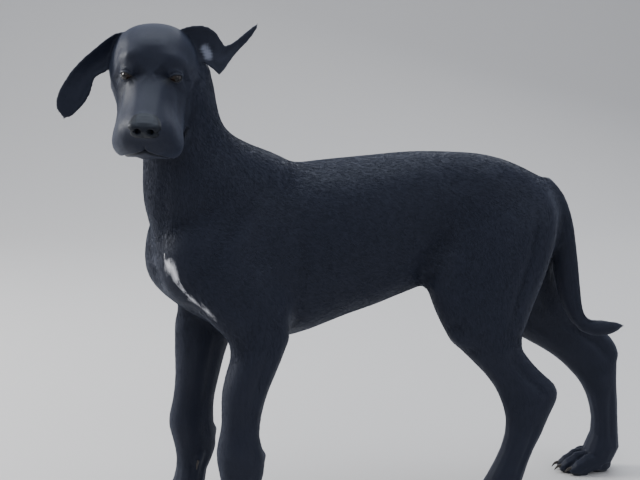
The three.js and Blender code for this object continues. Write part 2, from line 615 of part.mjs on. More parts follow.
// Limbs, each in three lengths
const floor = beyond([200, 0, 0], [0, 0, -1], 1400);
const ELBOW = { [LEFT]: [front(-20, 0, 338), aside(0.25, -1)], [RIGHT]: [front(-50, 0, 338), aside(0.25, -1)] };
const WRIST = { [LEFT]: [front(-60, 0, 94), aside(0, -1)], [RIGHT]: [front(-80, 0, 94), aside(0, -1)] };
const KNEE = { [LEFT]: [[412, 0, 318], [0.35, 0, -1]], [RIGHT]: [[520, 0, 325], [0.8, 0, -0.9]] };
const HOCK = { [LEFT]: [[470, 0, 160], [-0.3, 0, -1]], [RIGHT]: [[680, 0, 165], [0.1, 0, -1]] };
limbs.forEach(({ side, name, arm, leg }) => {
  const elbow = both(ELBOW[side]);
  const wrist = both(WRIST[side]);
  const knee = both(KNEE[side]);
  const hock = both(HOCK[side]);
  add(`shoulder_${name}`, cut(arm, [elbow.below]));
  add(`foreleg_${name}`, cut(arm, [elbow.above, wrist.below]));
  add(`forepaw_${name}`, cut(join([arm, paw(PAWS[`forepaw_${name}`])]), [wrist.above, floor]));
  add(`thigh_${name}`, cut(leg, [knee.below, tailLoft(GAP)]));
  add(`shank_${name}`, cut(leg, [knee.above, hock.below]));
  add(`hindpaw_${name}`, cut(join([leg, paw(PAWS[`hindpaw_${name}`])]), [hock.above, floor]));
});

// Tail in three lengths
const TAIL_CUTS = [both([[552, 0, 470], [0.12, 0, -1]]), both([[578, 0, 345], [0.5, 0, -1]])];
const tail = tailLoft();
add('tail_root', cut(tail, [TAIL_CUTS[0].below]));
add('tail_middle', cut(tail, [TAIL_CUTS[0].above, TAIL_CUTS[1].below]));
add('tail_tip', cut(tail, [TAIL_CUTS[1].above]));

// The frame's origin is on the floor, under the middle of the dog
const bounds = new THREE.Box3().setFromObject(dog);
const middle = bounds.getCenter(new THREE.Vector3());
dog.children.forEach((mesh) => mesh.geometry.translate(-middle.x, -middle.y, -bounds.min.z));

export default dog;
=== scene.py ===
"""A young great dane standing with its head turned to its left, dressed as a life-size museum model.

Lengths in the tables are millimetres in the axes of the straight dog: X from the breast to the seat, Y to its
right, Z up. `Stance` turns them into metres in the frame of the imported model, where the front half is bent.
"""

from __future__ import annotations

import logging
import math
from collections.abc import Callable, Sequence
from dataclasses import dataclass, field, replace
from enum import Enum

import bpy
import numpy as np
from mathutils import Matrix, Vector
from mathutils.bvhtree import BVHTree


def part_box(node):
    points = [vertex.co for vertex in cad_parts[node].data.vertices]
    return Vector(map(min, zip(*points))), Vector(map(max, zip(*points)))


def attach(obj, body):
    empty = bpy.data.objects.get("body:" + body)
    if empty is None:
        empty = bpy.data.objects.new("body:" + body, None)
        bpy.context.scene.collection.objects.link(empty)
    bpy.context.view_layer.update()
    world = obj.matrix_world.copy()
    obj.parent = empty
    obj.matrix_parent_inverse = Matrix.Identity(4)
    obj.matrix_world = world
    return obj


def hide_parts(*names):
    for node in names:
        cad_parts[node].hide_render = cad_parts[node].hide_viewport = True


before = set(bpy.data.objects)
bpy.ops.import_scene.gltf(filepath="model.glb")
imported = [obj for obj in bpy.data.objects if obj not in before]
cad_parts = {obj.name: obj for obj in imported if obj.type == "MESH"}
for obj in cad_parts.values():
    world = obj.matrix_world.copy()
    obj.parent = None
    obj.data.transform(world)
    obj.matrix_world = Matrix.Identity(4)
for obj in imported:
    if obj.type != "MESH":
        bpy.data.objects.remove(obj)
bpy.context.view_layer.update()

MM = 0.001
LOG = logging.getLogger("great_dane")
PARTS = ("head", "ear", "paw", "leg", "tail", "neck")
Point = tuple[float, float, float]
Colour = tuple[float, float, float, float]


class Side(Enum):
    """Side of the dog, as the sign of Y."""

    LEFT = -1
    RIGHT = 1


class Plane(Enum):
    """Which axes count when the distance to a line is taken."""

    SOLID = (1.0, 1.0, 1.0)
    SIDE = (1.0, 0.0, 1.0)
    FRONT = (0.0, 1.0, 1.0)
    TOP = (1.0, 1.0, 0.0)


def deselect() -> None:
    """Deselect everything."""
    bpy.ops.object.select_all(action="DESELECT")


def activate(piece: bpy.types.Object) -> None:
    """Select one object alone and make it active.

    Args:
        piece: The object.
    """
    deselect()
    piece.select_set(True)
    bpy.context.view_layer.objects.active = piece


def join(pieces: list[bpy.types.Object], name: str) -> bpy.types.Object:
    """Join objects into the first one and name it.

    Args:
        pieces: The objects.
        name: Name of the whole.

    Returns:
        The whole.
    """
    deselect()
    for piece in pieces:
        piece.select_set(True)
    bpy.context.view_layer.objects.active = pieces[0]
    bpy.ops.object.join()
    pieces[0].name = pieces[0].data.name = name
    return pieces[0]


def on_faces(piece: bpy.types.Object, operator: Callable, **settings: object) -> None:
    """Run one edit-mode operator on the whole mesh.

    Args:
        piece: The mesh object.
        operator: The operator.
        **settings: What it is called with.
    """
    activate(piece)
    bpy.ops.object.mode_set(mode="EDIT")
    bpy.ops.mesh.select_all(action="SELECT")
    operator(**settings)
    bpy.ops.object.mode_set(mode="OBJECT")


def copied_node(name: str) -> bpy.types.Object:
    """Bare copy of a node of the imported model, with its points merged.

    Args:
        name: Name of the node.

    Returns:
        The copy, which sits at the origin.
    """
    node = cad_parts[name]
    copy = node.copy()
    copy.data = node.data.copy()
    copy.parent = None
    copy.matrix_world = node.matrix_world.copy()
    for key in [key for key in copy.keys() if key.startswith("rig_")]:
        del copy[key]
    bpy.context.collection.objects.link(copy)
    activate(copy)
    bpy.ops.object.transform_apply(location=True, rotation=True, scale=True)
    on_faces(copy, bpy.ops.mesh.remove_doubles, threshold=1e-5)
    copy.data.materials.clear()
    return copy


def hand_over(piece: bpy.types.Object, slot: str, *nodes: str) -> None:
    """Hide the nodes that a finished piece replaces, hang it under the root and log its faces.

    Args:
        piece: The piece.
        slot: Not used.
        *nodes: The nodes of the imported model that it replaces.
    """
    if nodes:
        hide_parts(*nodes)
    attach(piece, "root")
    LOG.info("%s: %d faces", piece.name, len(piece.data.polygons))


def apply_modifier(piece: bpy.types.Object, kind: str, **settings: object) -> None:
    """Add a modifier with these settings and apply it.

    Args:
        piece: The mesh object.
        kind: Type of the modifier.
        **settings: Its properties.
    """
    activate(piece)
    modifier = piece.modifiers.new(kind.lower(), kind)
    for key, value in settings.items():
        setattr(modifier, key, value)
    bpy.ops.object.modifier_apply(modifier=modifier.name)


def get_points(mesh: bpy.types.Mesh) -> np.ndarray:
    """Vertex places of a mesh as an array of rows.

    Args:
        mesh: The mesh.

    Returns:
        One row per vertex.
    """
    flat = np.empty(len(mesh.vertices) * 3)
    mesh.vertices.foreach_get("co", flat)
    return flat.reshape(-1, 3)


def set_points(mesh: bpy.types.Mesh, points: np.ndarray) -> None:
    """Write vertex places back to a mesh."""
    mesh.vertices.foreach_set("co", points.ravel())
    mesh.update()


def get_normals(mesh: bpy.types.Mesh) -> np.ndarray:
    """Vertex normals of a mesh as an array of rows.

    Args:
        mesh: The mesh.

    Returns:
        One row per vertex.
    """
    flat = np.empty(len(mesh.vertices) * 3)
    mesh.vertex_normals.foreach_get("vector", flat)
    return flat.reshape(-1, 3)


def get_edges(mesh: bpy.types.Mesh) -> np.ndarray:
    """Vertex pairs of the edges of a mesh.

    Args:
        mesh: The mesh.

    Returns:
        One row per edge.
    """
    flat = np.empty(len(mesh.edges) * 2, dtype=np.int64)
    mesh.edges.foreach_get("vertices", flat)
    return flat.reshape(-1, 2)


def put_attribute(mesh: bpy.types.Mesh, name: str, values: np.ndarray) -> None:
    """Store one number per vertex under a name that a material can read."""
    layer = mesh.attributes.get(name) or mesh.attributes.new(name, "FLOAT", "POINT")
    layer.data.foreach_set("value", values.astype(np.float32))


def get_attribute(mesh: bpy.types.Mesh, name: str) -> np.ndarray:
    """Read one number per vertex.

    Args:
        mesh: The mesh.
        name: Name of the attribute.

    Returns:
        The numbers.
    """
    values = np.empty(len(mesh.vertices), dtype=np.float32)
    mesh.attributes[name].data.foreach_get("value", values)
    return values.astype(float)


def get_parts(mesh: bpy.types.Mesh) -> dict[str, np.ndarray]:
    """Share with which each vertex belongs to each part of the body."""
    return {part: get_attribute(mesh, f"part_{part}") for part in PARTS}


def put_weights(piece: bpy.types.Object, name: str, weights: np.ndarray) -> None:
    """Make a vertex group with one weight per vertex, to the nearest hundredth.

    Args:
        piece: The mesh object.
        name: Name of the group.
        weights: One weight per vertex.
    """
    group = piece.vertex_groups.new(name=name)
    weights = np.round(np.clip(weights, 0, 1), 2)
    for value in np.unique(weights[weights > 0]):
        group.add(np.nonzero(weights == value)[0].tolist(), float(value), "REPLACE")


def ramp(values: np.ndarray, low: float, high: float) -> np.ndarray:
    """Smooth step from 0 at low to 1 at high."""
    t = np.clip((values - low) / (high - low), 0.0, 1.0)
    return t * t * (3.0 - 2.0 * t)


def diffuse(edges: np.ndarray, values: np.ndarray, amount: np.ndarray | float, rounds: int) -> np.ndarray:
    """Blend each row of values towards the mean of its neighbours.

    Args:
        edges: Vertex pairs.
        values: One row or number per vertex.
        amount: Share of the way to go each round.
        rounds: How often.

    Returns:
        The blended values.
    """
    count = len(values)
    ends = np.concatenate([edges[:, 0], edges[:, 1]])
    others = np.concatenate([edges[:, 1], edges[:, 0]])
    degree = np.maximum(np.bincount(ends, minlength=count), 1)
    rows = values.reshape(count, -1).copy()
    share = np.asarray(amount).reshape(-1, 1) if np.ndim(amount) else amount
    for _ in range(rounds):
        mean = np.stack([np.bincount(ends, rows[others, k], count) / degree for k in range(rows.shape[1])], 1)
        rows += (mean - rows) * share
    return rows.reshape(values.shape)


def even(edges: np.ndarray, points: np.ndarray, rounds: int, share: np.ndarray | float = 1.0,
         there: float = 0.62, back: float = -0.64) -> np.ndarray:
    """Smooth points without losing volume.

    Args:
        edges: Vertex pairs.
        points: One row per vertex.
        rounds: How often.
        share: How strongly each vertex takes part.
        there: Step towards the neighbours.
        back: Step away from them again.

    Returns:
        The smoothed points.
    """
    for _ in range(rounds):
        points = diffuse(edges, points, share * there, 1)
        points = diffuse(edges, points, share * back, 1)
    return points


@dataclass(frozen=True)
class Stance:
    """How the straight dog stands: the front half of its spine turns to its left.

    The bend runs from `back` to `front`, and the dog goes on no farther than `reach` before and behind it.
    """

    angle: float = math.radians(18.0)
    front: float = 0.0
    back: float = 220.0
    step: float = 5.0
    origin: Point = (205.2784, -58.9558, 0.0)
    reach: tuple[float, float] = (400.0, 600.0)
    halvings: int = 22

    def spine(self) -> np.ndarray:
        """Rows of x, y and turn along the bent spine, from back to front.

        Returns:
            The rows.
        """
        rows = [(self.back, 0.0, 0.0)]
        s = self.back - self.step
        while s >= self.front - 1e-6:
            t = (s - self.front) / (self.back - self.front)
            turn = self.angle * (1.0 - t * t * (3.0 - 2.0 * t))
            rows.append((rows[-1][0] - math.cos(turn) * self.step, rows[-1][1] - math.sin(turn) * self.step, turn))
            s -= self.step
        return np.array(rows)

    def along(self, x: np.ndarray) -> np.ndarray:
        """Rows of x, y and turn of the bent spine next to straight places, and how far these lie past its ends.

        Args:
            x: Straight places in mm.

        Returns:
            The four rows.
        """
        table = self.spine()
        share = np.clip((self.back - x) / self.step, 0.0, len(table) - 1.0)
        ahead = np.minimum(0.0, x - self.front) + np.maximum(0.0, x - self.back)
        return np.array([*(np.interp(share, np.arange(len(table)), table[:, k]) for k in range(3)), ahead])

    def stand(self, points: np.ndarray) -> np.ndarray:
        """Bend straight points (mm) and return them in the model's frame (m).

        Args:
            points: Straight places.

        Returns:
            Places in the model.
        """
        p = np.asarray(points, dtype=float).reshape(-1, 3)
        x, y, turn, ahead = self.along(p[:, 0])
        cos, sin = np.cos(turn), np.sin(turn)
        bent = np.stack([x + ahead * cos - p[:, 1] * sin, y + ahead * sin + p[:, 1] * cos, p[:, 2]], 1)
        return (bent - self.origin) * MM

    def straighten(self, points: np.ndarray) -> tuple[np.ndarray, np.ndarray]:
        """Undo `stand` by halving the span in which the place along the spine lies.

        Args:
            points: Places in the model (m).

        Returns:
            Straight places (mm), and the turn of the spine at each.
        """
        p = points / MM + self.origin
        low = np.full(len(p), self.front - self.reach[0])
        high = np.full(len(p), self.back + self.reach[1])
        for _ in range(self.halvings):
            middle = (low + high) / 2.0
            x, y, turn, ahead = self.along(middle)
            cos, sin = np.cos(turn), np.sin(turn)
            dx, dy = p[:, 0] - x - ahead * cos, p[:, 1] - y - ahead * sin
            past = dx * cos + dy * sin > 0
            low, high = np.where(past, middle, low), np.where(past, high, middle)
        return np.stack([middle, -dx * sin + dy * cos, p[:, 2]], 1), turn


@dataclass(frozen=True)
class HeadAxes:
    """Axes of the head: X along the muzzle, Y to the dog's left, Z up from the brow; zero lies between the eyes."""

    at: Point = (-165.5, -145.0, 785.0)
    yaw: float = math.radians(8.5)
    pitch: float = math.radians(28.0)
    roll: float = math.radians(-3.0)
    origin: Point = Stance.origin

    def matrix(self) -> np.ndarray:
        """Turn of the head as a 3 by 3 array."""
        turn = Matrix.Rotation(-math.pi / 2 - self.yaw, 3, "Z") @ Matrix.Rotation(self.pitch, 3, "Y")
        return np.array(turn @ Matrix.Rotation(self.roll, 3, "X"))

    def to_model(self, points: np.ndarray) -> np.ndarray:
        """Head places (mm) in the model's frame (m)."""
        p = np.asarray(points, dtype=float).reshape(-1, 3)
        return (p @ self.matrix().T + np.array(self.at) - self.origin) * MM

    def to_head(self, points: np.ndarray) -> np.ndarray:
        """Places of the model (m) in the axes of the head (mm)."""
        return (points / MM + self.origin - np.array(self.at)) @ self.matrix()


STANCE = Stance()
HEAD = HeadAxes()


@dataclass(frozen=True)
class EyeSize:
    """Where the eyeballs lie in the head and how they look out."""

    at: Point = (2.2, 34.0, -4.0)
    radius: float = 11.5
    out: float = math.radians(30.0)
    up: float = math.radians(8.0)

    def axes(self, side: Side) -> tuple[np.ndarray, np.ndarray, np.ndarray, np.ndarray]:
        """Centre, look, across (towards the dog's left) and up of one eye, in the axes of the head.

        Args:
            side: Which eye.

        Returns:
            The place and the three directions.
        """
        left = -side.value
        look = np.array([
            math.cos(self.out) * math.cos(self.up),
            left * math.sin(self.out) * math.cos(self.up),
            math.sin(self.up),
        ])
        across = np.cross([0.0, 0.0, 1.0], look)
        across /= np.linalg.norm(across)
        return np.array([self.at[0], left * self.at[1], self.at[2]]), look, across, np.cross(look, across)


EYE = EyeSize()


@dataclass(frozen=True)
class Stroke:
    """A soft ridge or groove along a line, as a hand would press it into clay.

    The line holds points in mm, `width` is how far it reaches, `rise` how high it stands (below 0 a groove),
    `face` the direction that the skin must look in, or None, and `sharp` above 2 gives it steeper flanks.
    """

    line: Sequence[Point] | np.ndarray
    width: float
    rise: float
    plane: Plane = Plane.SOLID
    face: Point | None = None
    sharp: float = 2.0
    fade: bool = True

    def mirrored(self) -> Stroke:
        """The same stroke on the other side of the middle plane."""
        face = None if self.face is None else (self.face[0], -self.face[1], self.face[2])
        return replace(self, line=np.array(self.line) * [1, -1, 1], face=face)


def lift(points: np.ndarray, normals: np.ndarray, stroke: Stroke) -> np.ndarray:
    """How far a stroke raises each point.

    Args:
        points: Places in the stroke's own axes, in mm.
        normals: Directions of the skin in the same axes.
        stroke: The ridge or groove.

    Returns:
        One height in mm per point.
    """
    line = np.array(stroke.line, dtype=float)
    scale = np.array(stroke.plane.value)
    reach = stroke.width * 3.0
    low = np.where(scale > 0, line.min(0) - reach, -1e9)
    high = np.where(scale > 0, line.max(0) + reach, 1e9)
    near = np.nonzero(((points > low) & (points < high)).all(1))[0]
    height = np.zeros(len(points))
    if not len(near):
        return height
    p = points[near] * scale
    best = np.full(len(near), 1e9)
    place = np.zeros(len(near))
    spans = np.linalg.norm(np.diff(line, axis=0), axis=1)
    total = max(spans.sum(), 1e-6)
    passed = 0.0
    if len(line) == 1:
        best = np.linalg.norm(p - line[0] * scale, axis=1)
        place[:] = 0.5
    for a, b, span in zip(line[:-1], line[1:], spans):
        step = (b - a) * scale
        t = np.clip(((p - a * scale) @ step) / max(step @ step, 1e-9), 0.0, 1.0)
        away = np.linalg.norm(p - a * scale - t[:, None] * step, axis=1)
        closer = away < best
        best = np.where(closer, away, best)
        place = np.where(closer, (passed + t * span) / total, place)
        passed += span
    rise = stroke.rise * np.exp(-((best / stroke.width) ** stroke.sharp))
    if stroke.fade and len(line) > 1:
        rise *= 0.25 + 0.75 * np.sin(np.pi * np.clip(place, 0.02, 0.98)) ** 0.6
    if stroke.face is not None:
        facing = np.array(stroke.face) / np.linalg.norm(stroke.face)
        rise *= ramp(normals[near] @ facing, -0.05, 0.45)
    height[near] = rise
    return height


# Foreleg: height, front and back of each side
FORELEG = {
    Side.LEFT: [(384, -70, 10), (350, -66, 26), (315, -76, 12), (285, -86, -1), (255, -92, -14), (225, -92, -22),
                (198, -93, -27), (176, -98, -27), (155, -102, -20), (132, -98, -18), (108, -94, -22), (86, -92, -34),
                (60, -96, -42), (38, -108, -42), (20, -104, -46)],
    Side.RIGHT: [(384, -106, -10), (350, -114, 2), (315, -113, -12), (285, -113, -24), (255, -113, -32),
                 (225, -116, -40), (198, -121, -45), (176, -126, -46), (155, -125, -45), (132, -118, -42),
                 (108, -114, -44), (86, -113, -58), (60, -118, -64), (38, -132, -64), (20, -128, -68)],
}
FORELEG_OUT = 76.0
# Hind leg: front x, z and back x, z of each rib from the hip down, and the distance from the middle plane
HINDLEG = {
    Side.LEFT: [
        (370, 590, 490, 590, 36), (325, 535, 528, 540, 44), (302, 470, 527, 485, 47), (296, 425, 512, 440, 51),
        (304, 388, 495, 400, 57), (318, 352, 480, 368, 63), (336, 322, 470, 340, 69), (362, 296, 462, 314, 72),
        (390, 269, 472, 288, 74), (414, 240, 496, 260, 75), (430, 208, 534, 224, 76), (440, 176, 519, 184, 76),
        (440, 150, 508, 155, 77), (432, 118, 490, 118, 78), (418, 88, 478, 84, 79), (402, 58, 468, 52, 80),
    ],
    Side.RIGHT: [
        (380, 590, 495, 590, 36), (350, 535, 530, 540, 44), (348, 468, 543, 482, 47), (365, 415, 556, 436, 53),
        (400, 362, 572, 396, 61), (445, 318, 590, 368, 70), (495, 286, 612, 336, 76), (545, 258, 645, 302, 80),
        (592, 226, 682, 276, 83), (626, 192, 704, 246, 85), (645, 164, 705, 196, 86), (657, 135, 710, 150, 87),
        (664, 102, 714, 106, 88), (662, 70, 718, 68, 89), (650, 42, 720, 42, 90),
    ],
}
# Heel, turn, length and width of each paw
PAWS = {
    "forepaw_left": (-42.0, -76.0, 0.0, 96.0, 74.0),
    "forepaw_right": (-64.0, 76.0, 0.0, 96.0, 74.0),
    "hindpaw_left": (462.0, -80.0, 4.0, 104.0, 66.0),
    "hindpaw_right": (712.0, 90.0, -3.0, 110.0, 66.0),
}
# Share of the half width at the root and the tip of each toe, and how far forward it reaches
TOES = [(-0.62, -0.74, 0.84), (-0.24, -0.26, 0.98), (0.24, 0.26, 0.98), (0.62, 0.74, 0.84)]


def on_foreleg(side: Side, height: float, share: float) -> Point:
    """Point of a foreleg at a height, from its front (0) to its back (1).

    Args:
        side: Side of the dog.
        height: Height in mm.
        share: Share of the way to the back.

    Returns:
        The point.
    """
    rows = np.array(FORELEG[side])[::-1]
    front = np.interp(height, rows[:, 0], rows[:, 1])
    back = np.interp(height, rows[:, 0], rows[:, 2])
    return (front + (back - front) * share, side.value * FORELEG_OUT, height)


def on_hindleg(side: Side, row: float, share: float) -> Point:
    """Point of a hind leg at a rib number from the hip down, from its front (0) to its back (1).

    Args:
        side: Side of the dog.
        row: Number of the rib.
        share: Share of the way to the back.

    Returns:
        The point.
    """
    rows = np.array(HINDLEG[side], dtype=float)
    values = [np.interp(row, np.arange(len(rows)), rows[:, k]) for k in range(5)]
    x = values[0] + (values[2] - values[0]) * share
    return (x, side.value * values[4], values[1] + (values[3] - values[1]) * share)


def paw_points(name: str, points: Sequence[Point] | np.ndarray) -> np.ndarray:
    """Points of a paw (ahead of its heel, aside, up) in the axes of the straight dog.

    Args:
        name: Name of the paw.
        points: Points in its own axes.

    Returns:
        The same points in the straight dog.
    """
    x, y, turn, _, _ = PAWS[name]
    a = math.pi + math.radians(turn)
    p = np.array(points, dtype=float)
    return np.stack([
        x + p[:, 0] * math.cos(a) - p[:, 1] * math.sin(a),
        y + p[:, 0] * math.sin(a) + p[:, 1] * math.cos(a),
        p[:, 2],
    ], 1)


def paw_place(name: str, points: np.ndarray) -> np.ndarray:
    """Straight-dog points in the axes of a paw: ahead of its heel, aside, up.

    Args:
        name: Name of the paw.
        points: Points of the straight dog.

    Returns:
        The same points in its own axes.
    """
    x, y, turn, _, _ = PAWS[name]
    a = math.pi + math.radians(turn)
    dx, dy = points[:, 0] - x, points[:, 1] - y
    return np.stack([dx * math.cos(a) + dy * math.sin(a), -dx * math.sin(a) + dy * math.cos(a), points[:, 2]], 1)


class Axes(Enum):
    """Axes that the points of a stroke are given in."""

    DOG = "straight dog"
    HEAD = "head"
    STANDING = "standing dog"


def seen_from(axes: Axes, points: np.ndarray, normals: np.ndarray) -> tuple[np.ndarray, np.ndarray]:
    """Turn places and directions of the model into other axes.

    Args:
        axes: The axes.
        points: Places in m.
        normals: Directions of the skin there.

    Returns:
        Places in mm, and directions.
    """
    if axes is Axes.HEAD:
        return HEAD.to_head(points), normals @ HEAD.matrix()
    if axes is Axes.STANDING:
        return points / MM + STANCE.origin, normals
    straight, turn = STANCE.straighten(points)
    x, y, z = normals.T
    return straight, np.stack([x * np.cos(turn) + y * np.sin(turn), y * np.cos(turn) - x * np.sin(turn), z], 1)


def both(strokes: list[Stroke]) -> list[Stroke]:
    """Strokes and their mirror images."""
    return strokes + [stroke.mirrored() for stroke in strokes]


# Strokes on both flanks, seen from the side: x and z of the line, breadth and rise
FLANKS = [
    ([(18, 596), (-40, 545), (-92, 482)], 14, 1.7), ([(-25, 592), (-90, 528), (-132, 468)], 18, -1.5),
    ([(30, 560), (-15, 500), (-60, 455)], 18, -1.2), ([(-75, 610), (-120, 560), (-160, 500)], 21, -2.2),
    ([(-60, 452), (-25, 425), (8, 392)], 28, 4.2), ([(-128, 445), (-96, 402), (-70, 372)], 15, 2.2),
    ([(-105, 446), (-72, 410), (-48, 378)], 12, -1.6), ([(46, 540), (52, 470), (44, 400), (26, 362)], 19, -3.0),
    ([(20, 350)], 12, 2.4), ([(78, 430), (120, 395), (170, 388)], 24, -1.4),
    ([(205, 392), (248, 425), (280, 480), (296, 540)], 18, 1.5), ([(318, 520), (322, 470)], 30, -3.0),
    ([(262, 408), (290, 418), (318, 402)], 11, 2.6), ([(402, 604)], 18, 2.4), ([(350, 588), (330, 600)], 18, -1.6),
    ([(505, 560)], 15, 2.2), ([(440, 575), (478, 560)], 18, -1.2),
]
RIBS = [([(x, 560), (x + 20, 500), (x + 18, 414 + x // 6)], 8.0, 0.3) for x in range(96, 241, 24)]


def body_strokes() -> list[Stroke]:
    """Muscles, bones and folds of neck, trunk and tail.

    Returns:
        The strokes.
    """
    strokes = []
    for line, width, rise in FLANKS + RIBS:
        strokes += both([Stroke([(x, -60.0, z) for x, z in line], width, rise, Plane.SIDE, (0.0, -1.0, 0.0))])
    strokes += both([Stroke([(55, -27, 620), (200, -26, 620), (370, -22, 620)], 24, 1.0, Plane.TOP, (0, -0.2, 1))])
    strokes += [
        Stroke([(60, 0, 620), (220, 0, 620), (400, 0, 620)], 9, -0.5, Plane.TOP, (0, 0, 1)),
        Stroke([(20, 0, 640)], 26, 1.6, face=(0, 0, 1)),
        Stroke([(-180, 0, 540), (-180, 0, 470), (-160, 0, 410)], 10, -4.5, Plane.FRONT, (-1, 0, 0)),
        Stroke([(-180, 0, 478)], 13, 4.0, Plane.FRONT, (-1, 0, 0)),
        Stroke([(-190, -8, 640), (-186, -2, 590), (-182, 0, 545)], 12, 2.4, face=(-1, 0, 0)),
        Stroke([(120, 0, 330), (300, 0, 400)], 10, 1.5, Plane.TOP, (0, 0, -1)),
    ]
    return strokes + both([
        Stroke([(-170, -34, 500), (-165, -40, 440), (-150, -40, 405)], 20, 4.0, Plane.FRONT, (-1, -0.2, 0)),
        Stroke([(-176, -52, 640), (-178, -40, 580), (-174, -26, 520)], 13, -2.6),
        Stroke([(-128, -52, 700), (-140, -60, 640), (-150, -58, 580)], 21, 2.2),
    ])


def down_leg(leg: Callable[[Side, float, float], Point], side: Side, rows: list[tuple]) -> list[Stroke]:
    """Strokes down one leg.

    Args:
        leg: Gives a point of the leg from a place down it and a share of the way to its back.
        side: Side of the dog.
        rows: Places down the leg, share, breadth, rise, direction of the skin, and the last share if it changes.

    Returns:
        The strokes.
    """
    strokes = []
    for places, share, width, rise, face, *last in rows:
        shares = np.linspace(share, *(last or [share]), len(places))
        strokes.append(Stroke([leg(side, *at) for at in zip(places, shares)], width, rise, Plane.SIDE, face))
    return strokes


def foreleg_strokes(side: Side) -> list[Stroke]:
    """Muscles, tendons, bones and pads of one foreleg.

    Args:
        side: Side of the dog.

    Returns:
        The strokes.
    """
    out, inside = (0.0, side.value, 0.0), (0.0, -side.value, 0.0)
    x, y, z = on_foreleg(side, 146, 1.0)
    dew = np.array(on_foreleg(side, 112, 0.5))
    strokes = down_leg(on_foreleg, side, [
        ([345, 300, 250], 0.22, 13, 3.2, out), ([345, 300, 250, 205], 0.5, 6, -2.6, out, 0.58),
        ([340, 290, 240], 0.76, 12, 2.4, out), ([300, 250, 205], 0.86, 5, -1.8, out),
        ([330, 280, 230], 0.35, 12, 2.2, inside), ([320, 260, 205], 0.62, 7, -2.4, inside),
        ([186, 150], 0.3, 13, 2.2, out), ([186, 150], 0.34, 13, 2.4, inside),
        ([178, 142], 0.68, 6, -2.0, out), ([178, 142], 0.68, 6, -2.0, inside),
        ([126, 95, 62], 0.3, 4.5, -1.5, out), ([126, 95, 62], 0.3, 4.5, -1.5, inside),
        ([128, 95, 66], 0.66, 5, -2.4, out), ([128, 95, 66], 0.66, 5, -2.4, inside),
    ])
    pad = Stroke([(x - 2, y, z)], 9.5, 6.0, face=(1, 0, 0))
    dewclaw = [dew - [0, side.value * 26, 0], dew - [6, side.value * 28, 10]]
    return [*strokes, pad, Stroke(dewclaw, 7.5, 4.5, face=inside, fade=False)]


def hindleg_strokes(side: Side) -> list[Stroke]:
    """Muscles, tendons and bones of one hind leg.

    Args:
        side: Side of the dog.

    Returns:
        The strokes.
    """
    out, inside = (0.0, side.value, 0.0), (0.0, -side.value, 0.0)
    knee, hock = (6.0, 10.0) if side is Side.LEFT else (4.6, 9.2)
    return down_leg(on_hindleg, side, [
        ([1.0, 2.5, 4.0, knee], 0.8, 9, -3.4, out, 0.74), ([1.2, 2.6, 4.0], 0.24, 13, -2.2, out, 0.3),
        ([1.4, 2.8, 4.0], 0.52, 26, 3.4, out), ([1.5, 3.0, knee], 0.93, 12, 2.6, out),
        ([knee], 0.1, 13, 4.0, None), ([knee + 0.8], 0.1, 8, -2.0, out), ([knee - 0.8], 0.12, 9, -1.8, out),
        ([knee + 1.0, knee + 2.4, hock - 0.8], 0.2, 7, 1.6, out), ([knee + 1.0, hock - 1.0], 0.24, 7, 1.6, inside),
        ([knee + 0.8, knee + 2.0], 0.55, 13, 2.4, out),
        ([knee + 1.6, hock - 1.2, hock - 0.2], 0.68, 8, -5.0, out, 0.74),
        ([knee + 1.6, hock - 1.2, hock - 0.2], 0.68, 8, -5.0, inside, 0.74),
        ([hock - 2.2, hock - 0.4], 0.94, 6, 2.0, None, 0.97),
        ([hock], 0.97, 9, 3.0, None), ([hock + 0.5], 0.42, 11, 2.2, out), ([hock + 0.4], 0.4, 11, 2.4, inside),
        ([hock + 1.2, hock + 3.0, hock + 4.4], 0.66, 5, -2.6, out), ([hock + 1.2, hock + 4.2], 0.66, 5, -2.6, inside),
        ([hock + 1.4, hock + 4.0], 0.3, 4.5, -1.4, out), ([hock + 1.4, hock + 4.0], 0.3, 4.5, -1.4, inside),
    ])


def paw_strokes(name: str) -> list[Stroke]:
    """Furrows between the toes, and the knuckles of one paw.

    Args:
        name: Name of the paw.

    Returns:
        The strokes.
    """
    _, _, _, length, width = PAWS[name]
    half = width / 2
    strokes = []
    for share, reach in ((-0.5, 0.9), (0.0, 1.0), (0.5, 0.9)):
        furrow = [(length * 0.36, share * half * 0.86, 44), (length * 0.64, share * half, 34),
                  (length * reach * 0.94, share * half * 1.08, 12)]
        strokes.append(Stroke(paw_points(name, furrow), 3.6, -3.0, fade=False))
    for root, tip, reach in TOES:
        front = length * reach
        knuckle = paw_points(name, [(front - 30, (root * 0.4 + tip * 0.6) * half, 40)])
        end = paw_points(name, [(front - 13, tip * half, 25)])
        strokes += [Stroke(knuckle, 8.0, 2.2, face=(0, 0, 1)), Stroke(end, 6.5, 1.4, face=(-0.3, 0, 1))]
    return strokes


